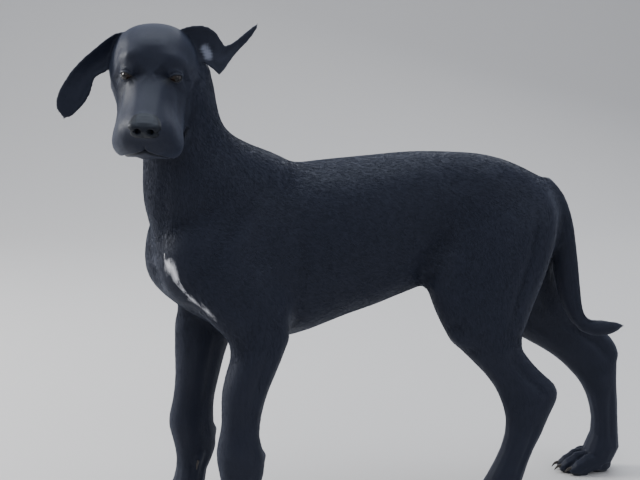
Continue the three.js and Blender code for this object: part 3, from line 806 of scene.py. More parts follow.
def head_strokes() -> list[Stroke]:
    """Brow, cheeks, muzzle and lips in the axes of the head, and the hollows behind the nostrils.

    Returns:
        The strokes.
    """
    return both([
        Stroke([(-3, 24, 28), (-6, 38, 23), (-15, 49, 14)], 9, 1.6, fade=False),
        Stroke([(-26, 58, 18)], 16, -2.4),
        Stroke([(-60, 42, 34)], 26, 1.4),
        Stroke([(8, 50, -25), (-16, 58, -27), (-48, 66, -24)], 9, 2.4),
        Stroke([(20, 43, -27), (44, 46, -38), (72, 47, -46)], 11, -3.4),
        Stroke([(22, 18, 6), (55, 17, 0), (94, 15, -8)], 8, 0.9),
        Stroke([(36, 34, -16), (84, 33, -26)], 11, -2.0),
        Stroke([(15, 25, -8), (28, 25, -13)], 6, -1.3),
        Stroke([(-38, 66, -44), (-30, 63, -60)], 20, 2.6),
        Stroke([(-4, 60, -44), (8, 55, -68)], 12, -2.0),
        Stroke([(56, 47, -76), (84, 45, -74), (104, 32, -58)], 15, 2.0),
        Stroke([(14, 50, -86), (22, 50, -68), (26, 48, -54)], 6, -1.8),
        Stroke([(98, 34, -30), (108, 30, -43)], 5, -1.4),
        Stroke([(101, 20, -8), (99, 10, -6), (98, 0, -5)], 4, 0.9, fade=False),
        Stroke([(127, 9, -22), (121, 15, -25)], 8, -9.0),
    ]) + [
        Stroke([(-66, 0, 42), (-18, 0, 42), (6, 0, 26)], 9, -1.5),
        Stroke([(8, 0, 24), (22, 0, 8)], 13, -1.6),
        Stroke([(34, 0, 3), (60, 0, -2), (92, 0, -7)], 10, 0.7),
        Stroke([(104, 0, -86)], 10, 2.0),
        Stroke([(60, 0, -104), (10, 0, -97)], 12, -2.0, face=(0, 0, -1)),
    ]


# Edges of the ears in the standing dog: the upper and the lower edge from base to tip
EAR_EDGES = {
    Side.RIGHT: [((-196, -84, 842), (-204, -84, 796)), ((-214, -88, 842), (-224, -88, 793)),
                 ((-234, -92, 830), (-233, -92, 781)), ((-252, -96, 815), (-250, -96, 774)),
                 ((-272, -100, 799), (-255, -100, 760)), ((-288, -104, 781), (-259, -104, 748)),
                 ((-302, -108, 760), (-267, -108, 735)), ((-310, -110, 741), (-277, -110, 724)),
                 ((-308, -110, 723), (-290, -110, 714))],
    Side.LEFT: [((-118, -100, 848), (-106, -100, 802)), ((-103, -100, 852), (-91, -100, 797)),
                ((-81, -98, 853), (-73, -98, 790)), ((-62, -90, 842), (-57, -90, 775)),
                ((-48, -75, 820), (-42, -75, 792)), ((-31, -62, 825), (-27, -62, 809)),
                ((-11, -55, 840), (-7, -55, 828)), ((5, -50, 851), (7, -50, 848))],
}


def ear_strokes(side: Side) -> list[Stroke]:
    """Thicker rims and the folds in the hollow of one ear.

    Args:
        side: Side of the dog.

    Returns:
        The strokes.
    """
    rows = np.array(EAR_EDGES[side], dtype=float)
    upper, lower = rows[:, 0], rows[:, 1]
    return [
        Stroke(upper * 0.94 + lower * 0.06, 3.0, 0.9, fade=False),
        Stroke(upper * 0.06 + lower * 0.94, 3.0, 0.9, fade=False),
        Stroke((upper * 0.3 + lower * 0.7)[1:-2], 5.0, 1.2, face=(0, -1, 0)),
        Stroke(((upper + lower) / 2)[1:5], 7.0, -1.6, face=(0, -1, 0)),
    ]


FLESH = [
    "torso", "neck", "head", "nose", "eye_left", "eye_right", "ear_left", "ear_right",
    "shoulder_left", "shoulder_right", "foreleg_left", "foreleg_right", "forepaw_left", "forepaw_right",
    "thigh_left", "thigh_right", "shank_left", "shank_right", "hindpaw_left", "hindpaw_right",
    "tail_root", "tail_middle", "tail_tip",
]
SKULL = ("head", "nose", "eye_left", "eye_right")


@dataclass(frozen=True)
class Softness:
    """How strongly the raw skin is smoothed on each part, as a share per round."""

    trunk: float = 0.9
    limb: float = 0.7
    paw: float = 0.2
    head: float = 0.85
    ear: float = 0.5
    tail: float = 0.6
    rounds: int = 40
    guide_rounds: int = 48
    broad: float = 0.0085
    fine: float = 0.0042

    def broadly(self, node: str) -> float:
        """Share with which one node follows the broad guide."""
        return float(self.of(node) == self.trunk)

    def finely(self, node: str) -> float:
        """Share with which one node follows the fine guide.

        Args:
            node: Its name.

        Returns:
            The share.
        """
        if node.startswith("ear") or "paw" in node:
            return 0.0
        return 0.65 if self.of(node) == self.head else 0.9

    def of(self, node: str) -> float:
        """Softness of one node.

        Args:
            node: Its name.

        Returns:
            The share per round.
        """
        if node.startswith("ear"):
            return self.ear
        if "paw" in node:
            return self.paw
        if node.startswith("tail"):
            return self.tail
        if node in SKULL:
            return self.head
        if node.startswith(("foreleg", "shank")):
            return self.limb
        return self.trunk


@dataclass
class Skin:
    """The one skin over the whole dog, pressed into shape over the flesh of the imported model.

    Lengths are metres: `overlap` makes neighbouring nodes join, `depth` leaves room for the coat, `margin` widens
    the boxes in which the nodes are looked for, and below `sole` the skin is flat on the floor.
    """

    voxel: float = 0.0021
    overlap: float = 0.0006
    depth: float = 0.0009
    margin: float = 0.006
    sole: float = 0.0022
    limit: int = 168000
    softness: Softness = field(default_factory=Softness)

    def gather(self) -> bpy.types.Object:
        """Merged copy of the flesh nodes, each a little swollen so that neighbours join.

        Returns:
            The copy.
        """
        copies = []
        self.trees = []
        for name in FLESH:
            copy = copied_node(name)
            points = get_points(copy.data)
            if "paw" in name:
                points = self.without_claws(name, points)
            points += get_normals(copy.data) * self.overlap
            set_points(copy.data, points)
            corners = [tuple(p.vertices) for p in copy.data.polygons]
            self.trees.append(BVHTree.FromPolygons([tuple(p) for p in points], corners))
            copies.append(copy)
        return join(copies, "skin")

    @staticmethod
    def without_claws(name: str, points: np.ndarray) -> np.ndarray:
        """Draw the claws back into the toes, because they are a piece of their own.

        Args:
            name: Name of the paw.
            points: Its points in the model.

        Returns:
            The points without the claws.
        """
        place = paw_place(name, STANCE.straighten(points)[0])
        _, _, _, length, width = PAWS[name]
        for _, tip_share, reach in TOES:
            tip = length * reach
            aside = tip_share * width / 2
            claw = (place[:, 0] > tip + 0.4) & (np.abs(place[:, 1] - aside) < 7.0)
            place[claw, 0] = tip - 2.0
            place[claw, 2] = np.maximum(place[claw, 2], 6.0)
        return STANCE.stand(paw_points(name, place))

    def nearest(self, piece: bpy.types.Object) -> np.ndarray:
        """Find the flesh node next to every third point and pass it on to the points between.

        Args:
            piece: The skin.

        Returns:
            The node's number for each point.
        """
        points = get_points(piece.data)
        best = np.full(len(points), 1e9)
        owner = np.full(len(points), -1)
        some = np.arange(0, len(points), 3)
        for k, (name, tree) in enumerate(zip(FLESH, self.trees)):
            low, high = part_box(name)
            low, high = np.array(low) - self.margin, np.array(high) + self.margin
            inside = some[((points[some] > low) & (points[some] < high)).all(1)]
            for i in inside:
                found = tree.find_nearest(points[i], best[i])
                if found[3] is not None and found[3] < best[i]:
                    best[i] = found[3]
                    owner[i] = k
        edges = get_edges(piece.data)
        for _ in range(12):
            missing = owner < 0
            if not missing.any():
                break
            for a, b in ((0, 1), (1, 0)):
                take = (owner[edges[:, a]] < 0) & (owner[edges[:, b]] >= 0)
                owner[edges[take, a]] = owner[edges[take, b]]
        return np.maximum(owner, 0)

    def own(self, piece: bpy.types.Object) -> None:
        """Note for every point how near each part is, softened over the seams between parts.

        Args:
            piece: The skin.
        """
        self.owner = self.nearest(piece)
        edges = get_edges(piece.data)
        groups = {
            "head": SKULL, "ear": ("ear_left", "ear_right"), "paw": tuple(PAWS),
            "leg": ("foreleg_left", "foreleg_right", "shank_left", "shank_right"),
            "tail": ("tail_root", "tail_middle", "tail_tip"), "neck": ("neck",),
        }
        for part, names in groups.items():
            share = np.isin(self.owner, [FLESH.index(n) for n in names]).astype(float)
            put_attribute(piece.data, f"part_{part}", diffuse(edges, share, 0.7, 5))

    def guide(self, piece: bpy.types.Object, voxel: float) -> bpy.types.Object:
        """Make a coarser copy of the skin, without facets and seams, for the skin to follow.

        Args:
            piece: The skin.
            voxel: How coarse the copy is, in m.

        Returns:
            The guide.
        """
        guide = piece.copy()
        guide.data = piece.data.copy()
        bpy.context.collection.objects.link(guide)
        apply_modifier(guide, "REMESH", mode="VOXEL", voxel_size=voxel)
        set_points(guide.data, even(get_edges(guide.data), get_points(guide.data), self.softness.guide_rounds))
        apply_modifier(guide, "SUBSURF", levels=1)
        return guide

    @staticmethod
    def follow(piece: bpy.types.Object, guide: bpy.types.Object, share: np.ndarray) -> None:
        """Draw each point towards the guide, then remove the guide.

        Args:
            piece: The skin.
            guide: What it follows.
            share: How far each point goes.
        """
        put_weights(piece, "share", share)
        apply_modifier(piece, "SHRINKWRAP", target=guide, wrap_method="NEAREST_SURFACEPOINT", vertex_group="share")
        piece.vertex_groups.clear()
        bpy.data.objects.remove(guide)

    def relax(self, piece: bpy.types.Object) -> None:
        """Smooth away the facets and seams without losing volume, and sink the skin by the depth of the coat.

        Args:
            piece: The skin.
        """
        soft = self.softness
        edges = get_edges(piece.data)
        for voxel, rule in ((soft.broad, soft.broadly), (soft.fine, soft.finely)):
            share = np.array([rule(FLESH[k]) for k in self.owner])
            self.follow(piece, self.guide(piece, voxel), diffuse(edges, share, 0.6, 14))
        share = np.array([soft.of(FLESH[k]) for k in self.owner])
        share = np.clip(diffuse(edges, share, 0.6, 8), 0.05, 1.0)
        points = even(edges, get_points(piece.data), soft.rounds, share)
        set_points(piece.data, diffuse(edges, points, share * 0.25, 3))
        set_points(piece.data, get_points(piece.data) - get_normals(piece.data) * self.depth)

    def thin(self, piece: bpy.types.Object) -> None:
        """Fewer faces on the plain parts of the body, all of them on head, ears and paws.

        Args:
            piece: The skin.
        """
        parts = get_parts(piece.data)
        shaped = np.clip(parts["head"] + 0.75 * parts["ear"] + 0.7 * parts["paw"], 0, 1)
        put_weights(piece, "plain", 1.0 - 0.97 * shaped)
        ratio = min(1.0, self.limit / (len(piece.data.polygons) * 2))
        apply_modifier(piece, "DECIMATE", ratio=ratio, vertex_group="plain", vertex_group_factor=0.02)
        piece.vertex_groups.clear()

    @staticmethod
    def refine(piece: bpy.types.Object, centres: np.ndarray, reach: float) -> None:
        """Split the faces near some places.

        Args:
            piece: The skin.
            centres: The places in m.
            reach: How far from them, in m.
        """
        points = get_points(piece.data)
        best = np.full(len(points), 1e9)
        for centre in centres:
            best = np.minimum(best, ((points - centre) ** 2).sum(1))
        activate(piece)
        bpy.ops.object.mode_set(mode="EDIT")
        bpy.ops.mesh.select_mode(type="VERT")
        bpy.ops.mesh.select_all(action="DESELECT")
        bpy.ops.object.mode_set(mode="OBJECT")
        piece.data.vertices.foreach_set("select", best < reach * reach)
        bpy.ops.object.mode_set(mode="EDIT")
        bpy.ops.mesh.select_mode(type="FACE")
        bpy.ops.mesh.subdivide(number_cuts=1, smoothness=0.6)
        bpy.ops.object.mode_set(mode="OBJECT")

    @staticmethod
    def press(piece: bpy.types.Object, strokes: list[Stroke], axes: Axes, mask: np.ndarray | float = 1.0) -> None:
        """Raise and sink the skin along strokes.

        Args:
            piece: The skin.
            strokes: Ridges and grooves.
            axes: Axes that their points are given in.
            mask: Share of the rise that each point takes.
        """
        points, normals = get_points(piece.data), get_normals(piece.data)
        places, facing = seen_from(axes, points, normals)
        height = np.zeros(len(places))
        for stroke in strokes:
            height += lift(places, facing, stroke)
        set_points(piece.data, points + normals * (height * mask * MM)[:, None])

    def model(self, piece: bpy.types.Object) -> None:
        """Press the muscles, bones and folds of the whole dog into the skin.

        Args:
            piece: The skin.
        """
        parts = get_parts(piece.data)
        rest = 1.0 - np.clip(parts["head"] + parts["ear"] + parts["tail"], 0, 1)
        self.press(piece, body_strokes(), Axes.DOG, rest)
        for side in Side:
            straight, _ = STANCE.straighten(get_points(piece.data))
            mine = ramp(straight[:, 1] * side.value, -6.0, 14.0)
            self.press(piece, foreleg_strokes(side) + hindleg_strokes(side), Axes.DOG, mine * rest)
        for name in PAWS:
            self.press(piece, paw_strokes(name), Axes.DOG, parts["paw"])
        self.press(piece, head_strokes(), Axes.HEAD, parts["head"])
        for side in Side:
            self.press(piece, ear_strokes(side), Axes.STANDING, parts["ear"])
        share = 0.5 * (1.0 - np.clip(parts["ear"] + parts["paw"] + 0.6 * parts["head"], 0, 1))
        set_points(piece.data, diffuse(get_edges(piece.data), get_points(piece.data), share, 4))

    def settle(self, piece: bpy.types.Object) -> None:
        """Keep the soles flat on the floor and nothing below it.

        Args:
            piece: The skin.
        """
        points = get_points(piece.data)
        low = points[:, 2] < self.sole
        points[low, 2] = np.maximum(points[low, 2] * 0.25, 0.0)
        set_points(piece.data, points)

    def build(self) -> bpy.types.Object:
        """Make the skin.

        Returns:
            The skin.
        """
        piece = self.gather()
        apply_modifier(piece, "REMESH", mode="VOXEL", voxel_size=self.voxel, use_smooth_shade=True)
        self.own(piece)
        self.relax(piece)
        self.model(piece)
        self.thin(piece)
        LidMaker().build(piece)
        MouthMaker().build(piece)
        self.settle(piece)
        activate(piece)
        bpy.ops.object.shade_smooth()
        return piece


@dataclass(frozen=True)
class LidMaker:
    """Lids round the eyes, pressed out of the skin.

    Angles are degrees seen from the middle of the eyeball; lengths are mm, and `finer` holds metres, within which
    the skin gets more points.
    """

    corner: float = 60.0
    upper: float = 27.0
    lower: float = 21.0
    slant: float = -0.14
    reach: float = 12.0
    orbit: float = 34.0
    finer: tuple[float, float] = (0.024, 0.0175)

    def gap(self, q: np.ndarray, side: Side) -> tuple[np.ndarray, np.ndarray, np.ndarray]:
        """How points lie to the opening between the lids.

        Args:
            q: Places from the middle of the eyeball, in mm.
            side: Which eye.

        Returns:
            Distance from the middle, distance from the edge of the opening (below 0 inside), and height in degrees.
        """
        _, look, across, up = EYE.axes(side)
        r = np.linalg.norm(q, axis=1)
        alpha = np.degrees(np.arctan2(q @ across, q @ look))
        height = np.degrees(np.arcsin(np.clip((q @ up) / np.maximum(r, 1e-6), -1, 1)))
        height = height - self.slant * alpha * -side.value
        share = np.clip(np.abs(alpha) / self.corner, 0.0, 1.0)
        arch = np.cos(share * math.pi / 2) ** 0.75
        inside = np.maximum(height - self.upper * arch, -self.lower * arch - height)
        past = np.maximum(np.abs(alpha) - self.corner, 0.0)
        away = np.where(past > 0, np.hypot(past, np.maximum(inside, 0.0)), inside)
        return r, np.radians(away) * EYE.radius, height

    def build(self, piece: bpy.types.Object) -> None:
        """Refine the skin round the eyes, calm it between them and press the lids.

        Args:
            piece: The skin.
        """
        centres = HEAD.to_model(np.array([EYE.axes(side)[0] + EYE.axes(side)[1] * 11 for side in Side]))
        for reach in self.finer:
            Skin.refine(piece, centres, reach)
        points = get_points(piece.data)
        head = HEAD.to_head(points)
        between = np.exp(-(((head - [12, 0, 8]) / [22, 27, 24]) ** 2).sum(1))
        points = diffuse(get_edges(piece.data), points, between * 0.9, 40)
        head = HEAD.to_head(points)
        bare = np.zeros(len(points))
        for side in Side:
            centre, look, across, _ = EYE.axes(side)
            q = head - centre
            near = np.nonzero((np.linalg.norm(q, axis=1) < self.orbit) & (q @ look > 0.0))[0]
            r, away, height = self.gap(q[near], side)
            rim = EYE.radius + 2.0 - 1.9 * ramp(away, 0.9, -0.1) - 3.4 * ramp(away, 0.0, -1.2)
            above = ramp(height, 0.0, 12.0)
            crease = -1.1 * np.exp(-(((away - 4.4) / 1.3) ** 2)) * above
            crease += -0.6 * np.exp(-(((away - 4.2) / 1.4) ** 2)) * (1 - above)
            swell = 0.7 * np.exp(-(((away - 7.2) / 2.2) ** 2)) * above
            alpha = np.degrees(np.arctan2(q[near] @ across, q[near] @ look))
            middle = ramp(-np.abs(alpha), -self.corner - 10.0, -self.corner + 14.0)
            crease, swell = crease * middle, swell * middle
            share = 1.0 - ramp(away, 2.2, self.reach)
            target = rim + np.maximum(away - 1.5, 0.0) * 0.16
            fresh = r + (target - r) * share + (crease + swell) * (1.0 - ramp(away, 9.0, 15.0))
            head[near] = centre + q[near] * (fresh / np.maximum(r, 1e-6))[:, None]
            bare[near] = np.maximum(bare[near], 1.0 - ramp(away, 0.9, 2.1))
        set_points(piece.data, HEAD.to_model(head))
        put_attribute(piece.data, "bare", bare)


@dataclass(frozen=True)
class MouthMaker:
    """The line of the mouth, the furrow below the nose and the lips."""

    line: tuple[Point, ...] = (
        (117, 0, -64), (113, 11, -70), (108, 22, -79), (100, 31, -90), (84, 37, -103), (60, 38, -106), (36, 41, -99),
        (16, 45, -88),
    )
    places: int = 26
    slit: tuple[float, float] = (2.3, -4.6)

    def build(self, piece: bpy.types.Object) -> None:
        """Refine the skin along the mouth and press the lips apart.

        Args:
            piece: The skin.
        """
        line = np.array(self.line, dtype=float)
        t = np.linspace(0, len(line) - 1, self.places)
        dense = np.stack([np.interp(t, np.arange(len(line)), line[:, k]) for k in range(3)], 1)
        near = HEAD.to_head(get_points(piece.data))
        dense = np.array([near[((near - point) ** 2).sum(1).argmin()] for point in dense])
        dense[0, 1] = 0.0
        dense[1:-1] = (dense[:-2] + dense[1:-1] * 2 + dense[2:]) / 4
        mirrored = dense * [1, -1, 1]
        front = np.array([[121, 0, -42], [120, 0, -52], [117, 0, -62]])
        Skin.refine(piece, HEAD.to_model(np.concatenate([dense, mirrored, front])), 0.006)
        slit = both([Stroke(dense, *self.slit, fade=False)])
        slit += [Stroke([(124, 0, -38), (120, 0, -52), (117, 0, -64)], 1.5, -1.9, fade=False)]
        slit += both([Stroke(dense + [0, 3.0, 2.6], 2.6, 0.9, fade=False)])
        Skin.press(piece, slit, Axes.HEAD)
        head = HEAD.to_head(get_points(piece.data))
        best = np.full(len(head), 1e9)
        for point in np.concatenate([dense, mirrored]):
            best = np.minimum(best, ((head - point) ** 2).sum(1))
        bare = np.maximum(get_attribute(piece.data, "bare"), 1.0 - ramp(np.sqrt(best), 2.2, 5.0))
        points, normals = get_points(piece.data), get_normals(piece.data)
        sole = ramp(-normals[:, 2], 0.3, 0.7) * ramp(points[:, 2], 0.012, 0.005)
        put_attribute(piece.data, "bare", np.maximum(bare, sole))


class Nodes:
    """A material in the making, with short ways to add its shader nodes."""

    def __init__(self, name: str, values: dict[str, object]) -> None:
        """Start the material.

        Args:
            name: Its name.
            values: Values of the shader's sockets.
        """
        self.material = bpy.data.materials.new(name)
        self.material.use_nodes = True
        self.tree = self.material.node_tree
        self.shader = self.tree.nodes["Principled BSDF"]
        self.put(self.shader, values)

    @staticmethod
    def put(node: bpy.types.Node, values: dict[str | int, object]) -> None:
        """Set sockets of a node to plain values."""
        for key, value in values.items():
            node.inputs[key].default_value = value

    def link(self, source: bpy.types.NodeSocket, target: bpy.types.NodeSocket | str) -> None:
        """Join a socket to another one, or to one of the shader's by its name."""
        self.tree.links.new(source, self.shader.inputs[target] if isinstance(target, str) else target)

    def add(self, kind: str, values: dict[str | int, object] | None = None,
            links: dict[str | int, bpy.types.NodeSocket] | None = None, **settings: object) -> bpy.types.Node:
        """Add a node.

        Args:
            kind: Its type.
            values: Sockets set to plain values.
            links: Sockets joined to others.
            **settings: Properties of the node.

        Returns:
            The node.
        """
        node = self.tree.nodes.new(kind)
        for key, value in settings.items():
            setattr(node, key, value)
        self.put(node, values or {})
        for key, source in (links or {}).items():
            self.link(source, node.inputs[key])
        return node

    def place(self) -> bpy.types.NodeSocket:
        """The place in the model."""
        return self.add("ShaderNodeTexCoord").outputs["Object"]

    def value(self, name: str) -> bpy.types.NodeSocket:
        """A number stored on the mesh."""
        return self.add("ShaderNodeAttribute", attribute_name=name).outputs["Fac"]

    def noise(self, scale: float, stretch: Point = (1, 1, 1), detail: float = 2.0) -> bpy.types.NodeSocket:
        """Noise on the place in the model, stretched along the axes.

        Args:
            scale: How fine it is.
            stretch: How much finer along each axis.
            detail: Number of octaves.

        Returns:
            The noise from 0 to 1.
        """
        mapping = self.add("ShaderNodeMapping", {"Scale": stretch}, {"Vector": self.place()})
        values = {"Scale": scale, "Detail": detail}
        return self.add("ShaderNodeTexNoise", values, {"Vector": mapping.outputs["Vector"]}).outputs["Fac"]

    def vector(self, operation: str, first: bpy.types.NodeSocket, second: Point = (0, 0, 0)) -> bpy.types.Node:
        """One step of vector arithmetic."""
        return self.add("ShaderNodeVectorMath", {1: second}, {0: first}, operation=operation)

    def blend(self, share: bpy.types.NodeSocket, first: object, second: object) -> bpy.types.NodeSocket:
        """Blend two colours.

        Args:
            share: How much of the second one.
            first: A colour or a socket.
            second: A colour or a socket.

        Returns:
            The blend.
        """
        mix = self.add("ShaderNodeMix", links={0: share}, data_type="RGBA")
        for key, colour in ((6, first), (7, second)):
            if isinstance(colour, bpy.types.NodeSocket):
                self.link(colour, mix.inputs[key])
            else:
                mix.inputs[key].default_value = colour
        return mix.outputs[2]

    def between(self, share: bpy.types.NodeSocket, low: float, high: float) -> bpy.types.NodeSocket:
        """Number running from low to high as the share runs from 0 to 1."""
        span = self.add("ShaderNodeMapRange", {"To Min": low, "To Max": high}, {"Value": share})
        return span.outputs["Result"]

    def stops(self, share: bpy.types.NodeSocket, colours: Sequence[tuple[float, Colour]]) -> bpy.types.NodeSocket:
        """Run through colours.

        Args:
            share: Where along the run.
            colours: Place and colour of each stop.

        Returns:
            The colour there.
        """
        node = self.add("ShaderNodeValToRGB", links={"Fac": share})
        marks = node.color_ramp.elements
        marks[0].position, marks[0].color = colours[0]
        marks[1].position, marks[1].color = colours[-1]
        for place, colour in colours[1:-1]:
            marks.new(place).color = colour
        return node.outputs["Color"]

    def bump(self, height: bpy.types.NodeSocket, strength: float, distance: float) -> None:
        """Raise the surface a little by a height."""
        node = self.add("ShaderNodeBump", {"Strength": strength, "Distance": distance}, {"Height": height})
        self.link(node.outputs["Normal"], "Normal")


@dataclass(frozen=True)
class EyeBall:
    """One eyeball with the bulge of its cornea."""

    side: Side
    cornea: float = 1.15
    spread: float = 34.0
    dome: float = 1.2
    inset: float = 0.1
    segments: int = 48
    rings: int = 32

    def build(self) -> bpy.types.Object:
        """Make the eyeball.

        Returns:
            The eyeball.
        """
        centre, look, _, _ = EYE.axes(self.side)
        deselect()
        bpy.ops.mesh.primitive_uv_sphere_add(segments=self.segments, ring_count=self.rings, radius=1.0)
        piece = bpy.context.object
        piece.name = f"eyeball_{self.side.name.lower()}"
        turn = np.array(Vector(look).to_track_quat("Z", "Y").to_matrix())
        unit = get_points(piece.data)
        angle = np.degrees(np.arccos(np.clip(unit[:, 2], -1, 1)))
        bulge = np.maximum(0.0, 1 - (angle / self.spread) ** 2) ** self.dome
        radius = EYE.radius - self.inset + self.cornea * bulge
        set_points(piece.data, HEAD.to_model(centre + (unit * radius[:, None]) @ turn.T))
        activate(piece)
        bpy.ops.object.shade_smooth()
        piece.data.materials.append(self.material(centre, look))
        hand_over(piece, "eye", f"eye_{self.side.name.lower()}")
        return piece

    def material(self, centre: np.ndarray, look: np.ndarray) -> bpy.types.Material:
        """Make a wet eye: black pupil, dark brown iris with fine rays, dark rim and a little dim white.

        Args:
            centre: Middle of the eyeball in the axes of the head.
            look: Where it looks.

        Returns:
            The material.
        """
        gloss = {"Roughness": 0.25, "Specular IOR Level": 0.2, "Coat Weight": 0.3, "Coat Roughness": 0.04}
        nodes = Nodes(f"eye_{self.side.name.lower()}", gloss)
        away = nodes.vector("SUBTRACT", nodes.place(), tuple(HEAD.to_model(centre)[0]))
        unit = nodes.vector("NORMALIZE", away.outputs[0])
        share = nodes.vector("DOT_PRODUCT", unit.outputs[0], tuple(HEAD.matrix() @ look)).outputs["Value"]
        rays = nodes.add("ShaderNodeMath", {1: 0.012}, {0: nodes.noise(1800.0), 2: share}, operation="MULTIPLY_ADD")
        colour = nodes.stops(rays.outputs[0], [
            (0.0, (0.012, 0.009, 0.008, 1)), (0.62, (0.022, 0.016, 0.014, 1)), (0.74, (0.006, 0.004, 0.003, 1)),
            (0.86, (0.017, 0.008, 0.004, 1)), (0.955, (0.010, 0.005, 0.003, 1)), (0.972, (0.001, 0.001, 0.001, 1)),
        ])
        nodes.link(colour, "Base Color")
        return nodes.material


@dataclass(frozen=True)
class NoseLeather:
    """The bare nose with its nostrils and pebbled skin."""

    voxel: float = 0.0011
    proud: float = 0.4

    def build(self) -> bpy.types.Object:
        """Make the nose.

        Returns:
            The nose.
        """
        piece = copied_node("nose")
        piece.name = piece.data.name = "nose_leather"
        apply_modifier(piece, "REMESH", mode="VOXEL", voxel_size=self.voxel, use_smooth_shade=True)
        edges = get_edges(piece.data)
        points = even(edges, get_points(piece.data), 10, there=0.6, back=-0.62)
        set_points(piece.data, diffuse(edges, points, 0.4, 4))
        set_points(piece.data, get_points(piece.data) + get_normals(piece.data) * self.proud * MM)
        Skin.press(piece, both([
            Stroke([(129, 8.5, -21), (124, 12.5, -24), (118.5, 18.5, -27), (114, 25, -28.5)], 2.8, -6.0, fade=False),
            Stroke([(128, 9, -21.5)], 4.0, -4.2),
            Stroke([(126, 9, -13.5), (120, 18, -16), (115, 25, -22)], 4.5, 1.3),
            Stroke([(125, 5, -31), (120, 14, -34), (115, 22, -34)], 4.0, 0.9),
        ]) + [
            Stroke([(126, 0, -12), (129, 0, -23), (126, 0, -34), (121, 0, -41)], 1.7, -1.6, fade=False),
            Stroke([(104, 0, -8), (116, 0, -11)], 8, -0.6),
        ], Axes.HEAD)
        piece.data.materials.clear()
        piece.data.materials.append(self.material())
        hand_over(piece, "nose_skin", "nose")
        return piece

    @staticmethod
    def material() -> bpy.types.Material:
        """Moist black leather with fine pebbles.

        Returns:
            The material.
        """
        nodes = Nodes("nose_leather", {
            "Base Color": (0.0022, 0.0029, 0.0056, 1.0), "Roughness": 0.5,
            "Specular IOR Level": 0.34, "Specular Tint": (0.78, 0.87, 1.0, 1.0),
        })
        pebbles = nodes.add("ShaderNodeTexVoronoi", {"Scale": 980.0}, {"Vector": nodes.place()})
        nodes.bump(pebbles.outputs["Distance"], 0.32, 0.0004)
        return nodes.material


@dataclass(frozen=True)
class Claws:
    """The claws of all four paws and the two dewclaws, as one piece of curved horn."""

    rings: int = 12
    sides: int = 12
    toe_claw: float = 4.7
    dewclaw: float = 3.4
    taper: float = 0.62
    breadth: float = 0.62
    arch: tuple[float, float] = (0.95, 0.8)

    def build(self) -> bpy.types.Object:
        """Model one straight claw, copy it to every toe, curve the copies and join them.

        Returns:
            The claws.
        """
        deselect()
        bpy.ops.mesh.primitive_uv_sphere_add(segments=self.sides, ring_count=self.rings, radius=1.0)
        pattern = bpy.context.object
        copies = [self.curved(pattern, *path) for path in self.paths()]
        bpy.data.objects.remove(pattern)
        piece = join(copies, "claws")
        activate(piece)
        bpy.ops.object.shade_smooth()
        piece.data.materials.append(self.material())
        hand_over(piece, "nose_skin")
        return piece

    def paths(self) -> list[tuple[np.ndarray, np.ndarray, np.ndarray, float]]:
        """Root, bend and tip of each claw in the straight dog, and its thickness.

        Returns:
            One path per claw.
        """
        found = []
        for name, (_, _, _, length, width) in PAWS.items():
            for _, tip_share, reach in TOES:
                tip = length * reach
                y = tip_share * width / 2
                path = [(tip - 9, y, 13.0), (tip + 4.5, y * 1.01, 16.5), (tip + 9.4, y * 1.02, 4.4)]
                found.append((*paw_points(name, path), self.toe_claw))
        for side in Side:
            x, y, z = on_foreleg(side, 104, 0.44)
            inner, aside = y - side.value * 31, side.value * 3
            path = np.array([(x, inner + aside, z), (x - 6, inner - aside, z - 6), (x - 5, inner, z - 17)])
            found.append((*path, self.dewclaw))
        return found

    def curved(self, pattern: bpy.types.Object, root: np.ndarray, bend: np.ndarray, end: np.ndarray,
               thick: float) -> bpy.types.Object:
        """Copy of the pattern laid along a curve, from its root over the bend to its point.

        Args:
            pattern: Ball whose poles become the root and the point.
            root: Place of the root in the straight dog.
            bend: Place that the curve is drawn towards.
            end: Place of the point.
            thick: Half its height at the root in mm.

        Returns:
            The claw.
        """
        piece = pattern.copy()
        piece.data = pattern.data.copy()
        bpy.context.collection.objects.link(piece)
        unit = get_points(piece.data)
        t = (1.0 - np.arccos(np.clip(unit[:, 2], -1, 1)) / math.pi)[:, None]
        ring = unit[:, :2] / np.maximum(np.linalg.norm(unit[:, :2], axis=1), 1e-6)[:, None]
        ring[np.abs(unit[:, 2]) > 0.999] = 0.0
        centre = root * (1 - t) ** 2 + bend * 2 * t * (1 - t) + end * t * t
        along = (bend - root) * (1 - t) + (end - bend) * t
        along /= np.linalg.norm(along, axis=1)[:, None]
        aside = np.cross(end - root, [0.0, 0.0, 1.0])
        aside /= np.linalg.norm(aside)
        up = np.cross(aside, along)
        half = thick * (1 - t) ** self.taper
        high = np.where(ring[:, 1:] > 0, *self.arch)
        points = centre + aside * ring[:, :1] * half * self.breadth + up * ring[:, 1:] * half * high
        set_points(piece.data, STANCE.stand(points))
        on_faces(piece, bpy.ops.mesh.normals_make_consistent, inside=False)
        return piece

    @staticmethod
    def material() -> bpy.types.Material:
        """Dark horn with faint changes of colour.

        Returns:
            The material.
        """
        nodes = Nodes("claw_horn", {"Roughness": 0.36})
        ends = [(0.0, (0.012, 0.010, 0.009, 1)), (1.0, (0.045, 0.036, 0.030, 1))]
        nodes.link(nodes.stops(nodes.noise(420.0), ends), "Base Color")
        return nodes.material


